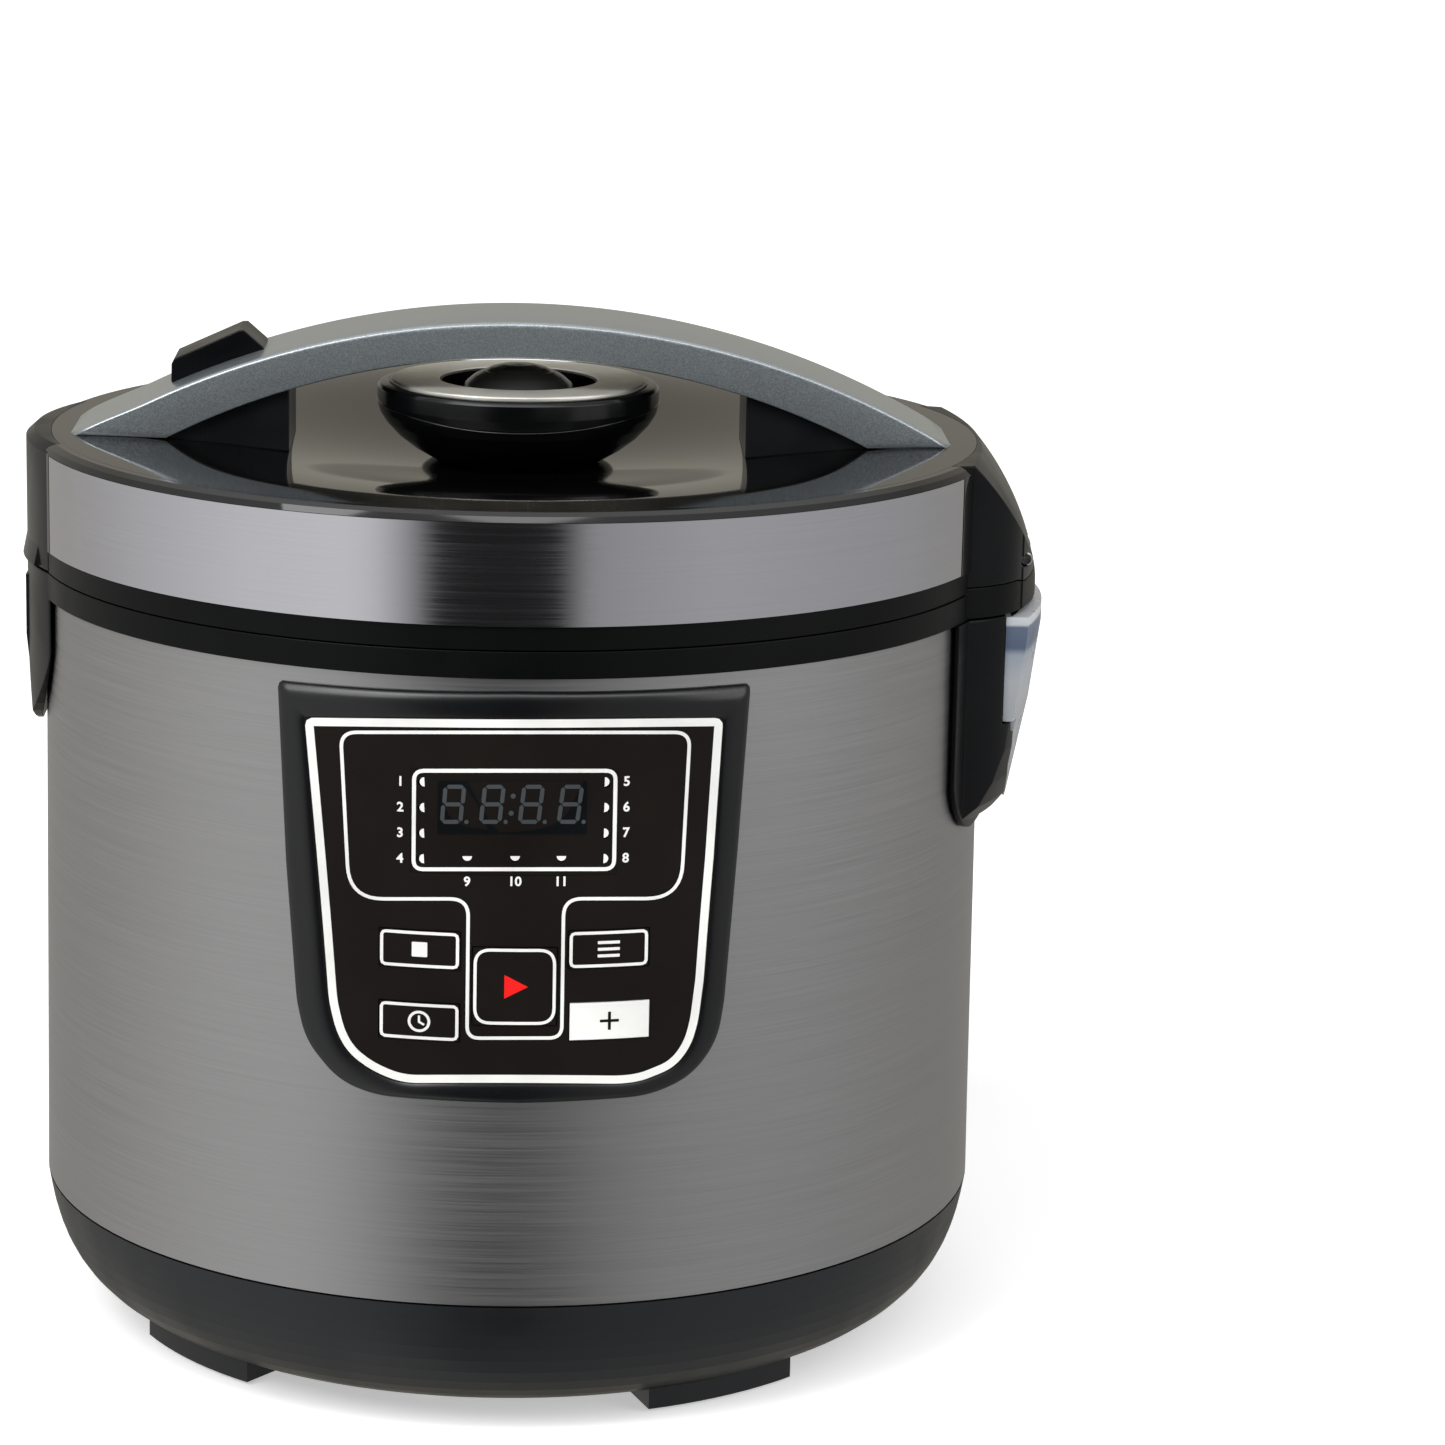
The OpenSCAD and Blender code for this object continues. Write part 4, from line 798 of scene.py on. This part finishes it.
def makeKeyPrints():
    low, high = panel["keyR"], panel["keyR"] + panel["print"]
    signFinish = {"key_start": "start_red", "key_lower_right": "overlay_film"}
    for name, (left, right, bottom, top) in keyPlaces.items():
        title = "".join(w.capitalize() for w in name.split("_")[1:])
        start, edge = name == "key_start", keyRim["inset"]
        corner = keyRim["startRound" if start else "round"]
        outline = roundedBox(left + edge, right - edge, bottom + edge, top - edge, corner)
        rim = stroke(outline, keyRim["width"], low, high)
        newPiece("keyRim" + title, *rim, "white_print", name, sharp=30)
        sign = gather(keyIcon(name, (left + right) / 2, (bottom + top) / 2, low, high))
        newPiece("keySign" + title, *sign, signFinish.get(name, "white_print"), name,
                 slotName="white_print" if start else None, sharp=30, weld=False)


makeLidTop()
makeHandle()
makeKnob()
makeKnobSeam()
makeHingeRod()
print("lid, handle and knob built")
makeBezel()
makePanelPrint()
makeMarks()
makeDisplay()
makeKeyPrints()
print("control panel printed")


# around: how bright a reflection finds the room at each angle in degrees, from the front to the right
studio = {"liftNear": 0.45, "liftFar": 0.75, "floor": 9.0, "world": 0.55,
          "around": [(-180, 0.36), (-134, 0.48), (-111, 0.56), (-66, 0.82), (-40, 0.9), (-33, 0.82), (-24, 0.4),
                     (-19, 0.02), (10, 0.02), (17, 0.42), (48, 0.53), (94, 0.46), (128, 0.4), (180, 0.36)]}
# place, target, size and power
lamps = {"keyLamp": ((-1.1, -1.0, 1.5), (0, 0, 0.15), (1.2, 1.2), 26),
         "ridgeLamp": ((0, -0.85, 1.6), (0, 0, 0.25), (2.2, 0.3), 9),
         "fillLamp": ((1.4, -0.8, 0.9), (0, 0, 0.15), (1.0, 1.4), 11)}


def newStage():
    h = studio["floor"]
    corners = [(-h, -h, 0), (h, -h, 0), (h, h, 0), (-h, h, 0)]
    floor = linkNew("studioFloor", meshOf("studioFloor", corners, [(0, 1, 2, 3)]))
    m, n, l, shader = newMaterial("paleFloor")
    l.new(toneRamp(n, l, objectNoise(n, l, 2), (1, 1, 1), 0.86, 0.9), shader.inputs["Base Color"])
    setSockets(shader, Roughness=0.9, Specular_IOR_Level=0.1)
    path, glow, both = n.new("ShaderNodeLightPath"), n.new("ShaderNodeEmission"), n.new("ShaderNodeAddShader")
    coord, away = n.new("ShaderNodeTexCoord"), addNode(n, "ShaderNodeVectorMath", "LENGTH")
    lift = addNode(n, "ShaderNodeMath", "MULTIPLY")  # the floor is lifted to white for the camera alone
    l.new(coord.outputs["Object"], away.inputs[0])
    l.new(ramp(n, l, away.outputs["Value"], studio["liftNear"], studio["liftFar"], (0.25, 1.6)), lift.inputs[1])
    l.new(path.outputs["Is Camera Ray"], lift.inputs[0])
    l.new(lift.outputs["Value"], glow.inputs["Strength"])
    l.new(shader.outputs["BSDF"], both.inputs[0])
    l.new(glow.outputs["Emission"], both.inputs[1])
    l.new(both.outputs["Shader"], n["Material Output"].inputs["Surface"])
    floor.data.materials.append(m)
    floor.visible_glossy = False


def newLamp(name, place, target, size, power):
    lamp = bpy.data.lights.new(name, "AREA")
    lamp.shape = "RECTANGLE"
    lamp.size, lamp.size_y = size
    lamp.energy = power
    obj = linkNew(name, lamp)
    obj.location = place
    obj.rotation_euler = (Vector(target) - Vector(place)).to_track_quat("-Z", "Y").to_euler()
    obj.visible_camera = False


def aroundTones(n, l, split):  # the room's brightness by the angle round the upright axis
    flip = addNode(n, "ShaderNodeMath", "MULTIPLY")
    flip.inputs[1].default_value = -1
    angle = addNode(n, "ShaderNodeMath", "ARCTAN2")
    l.new(split.outputs["Y"], flip.inputs[0])
    l.new(split.outputs["X"], angle.inputs[0])
    l.new(flip.outputs["Value"], angle.inputs[1])
    wrap = n.new("ShaderNodeValToRGB")
    ring, stops = wrap.color_ramp, studio["around"]
    ring.elements[0].position, ring.elements[1].position = 0, 1
    for a, v in stops[1:-1]:
        ring.elements.new((a + 180) / 360)
    for e, (a, v) in zip(ring.elements, stops):
        e.position = (a + 180) / 360
        behind = max(0, (abs(a) - 100) / 80)  # the far side of the room is warmer
        e.color = (v, v * (1 - 0.05 * behind), v * (1 - 0.2 * behind), 1)
    l.new(ramp(n, l, angle.outputs["Value"], 0, 1, (-math.pi, math.pi)), wrap.inputs["Fac"])
    return wrap.outputs["Color"]


def newWorld():
    world = bpy.data.worlds.new("studioWorld")
    scene.world = world
    world.use_nodes = True
    n, l = world.node_tree.nodes, world.node_tree.links
    n.clear()
    out, path = n.new("ShaderNodeOutputWorld"), n.new("ShaderNodeLightPath")
    diffuse = addNode(n, "ShaderNodeBackground", Strength=studio["world"])
    seen = addNode(n, "ShaderNodeBackground", Strength=1.0)
    mirror = addNode(n, "ShaderNodeBackground", Strength=1.0)
    coord, split = n.new("ShaderNodeTexCoord"), n.new("ShaderNodeSeparateXYZ")
    l.new(coord.outputs["Generated"], split.inputs["Vector"])
    over = n.new("ShaderNodeMix")  # a wide soft light overhead
    over.data_type = "RGBA"
    over.inputs["B"].default_value = (1, 1, 1, 1)
    l.new(ramp(n, l, split.outputs["Z"], 0, 1, (0.5, 0.78)), over.inputs["Factor"])
    l.new(aroundTones(n, l, split), over.inputs["A"])
    l.new(over.outputs["Result"], mirror.inputs["Color"])
    glossMix, eyeMix = n.new("ShaderNodeMixShader"), n.new("ShaderNodeMixShader")
    both = addNode(n, "ShaderNodeMath", "MAXIMUM")
    l.new(path.outputs["Is Camera Ray"], both.inputs[0])
    l.new(path.outputs["Is Transmission Ray"], both.inputs[1])
    l.new(path.outputs["Is Glossy Ray"], glossMix.inputs["Fac"])
    l.new(diffuse.outputs["Background"], glossMix.inputs[1])
    l.new(mirror.outputs["Background"], glossMix.inputs[2])
    l.new(both.outputs["Value"], eyeMix.inputs["Fac"])
    l.new(glossMix.outputs["Shader"], eyeMix.inputs[1])
    l.new(seen.outputs["Background"], eyeMix.inputs[2])
    l.new(eyeMix.outputs["Shader"], out.inputs["Surface"])


newStage()
newWorld()
for name, (place, target, size, power) in lamps.items():
    newLamp(name, place, target, size, power)
print("stage set")
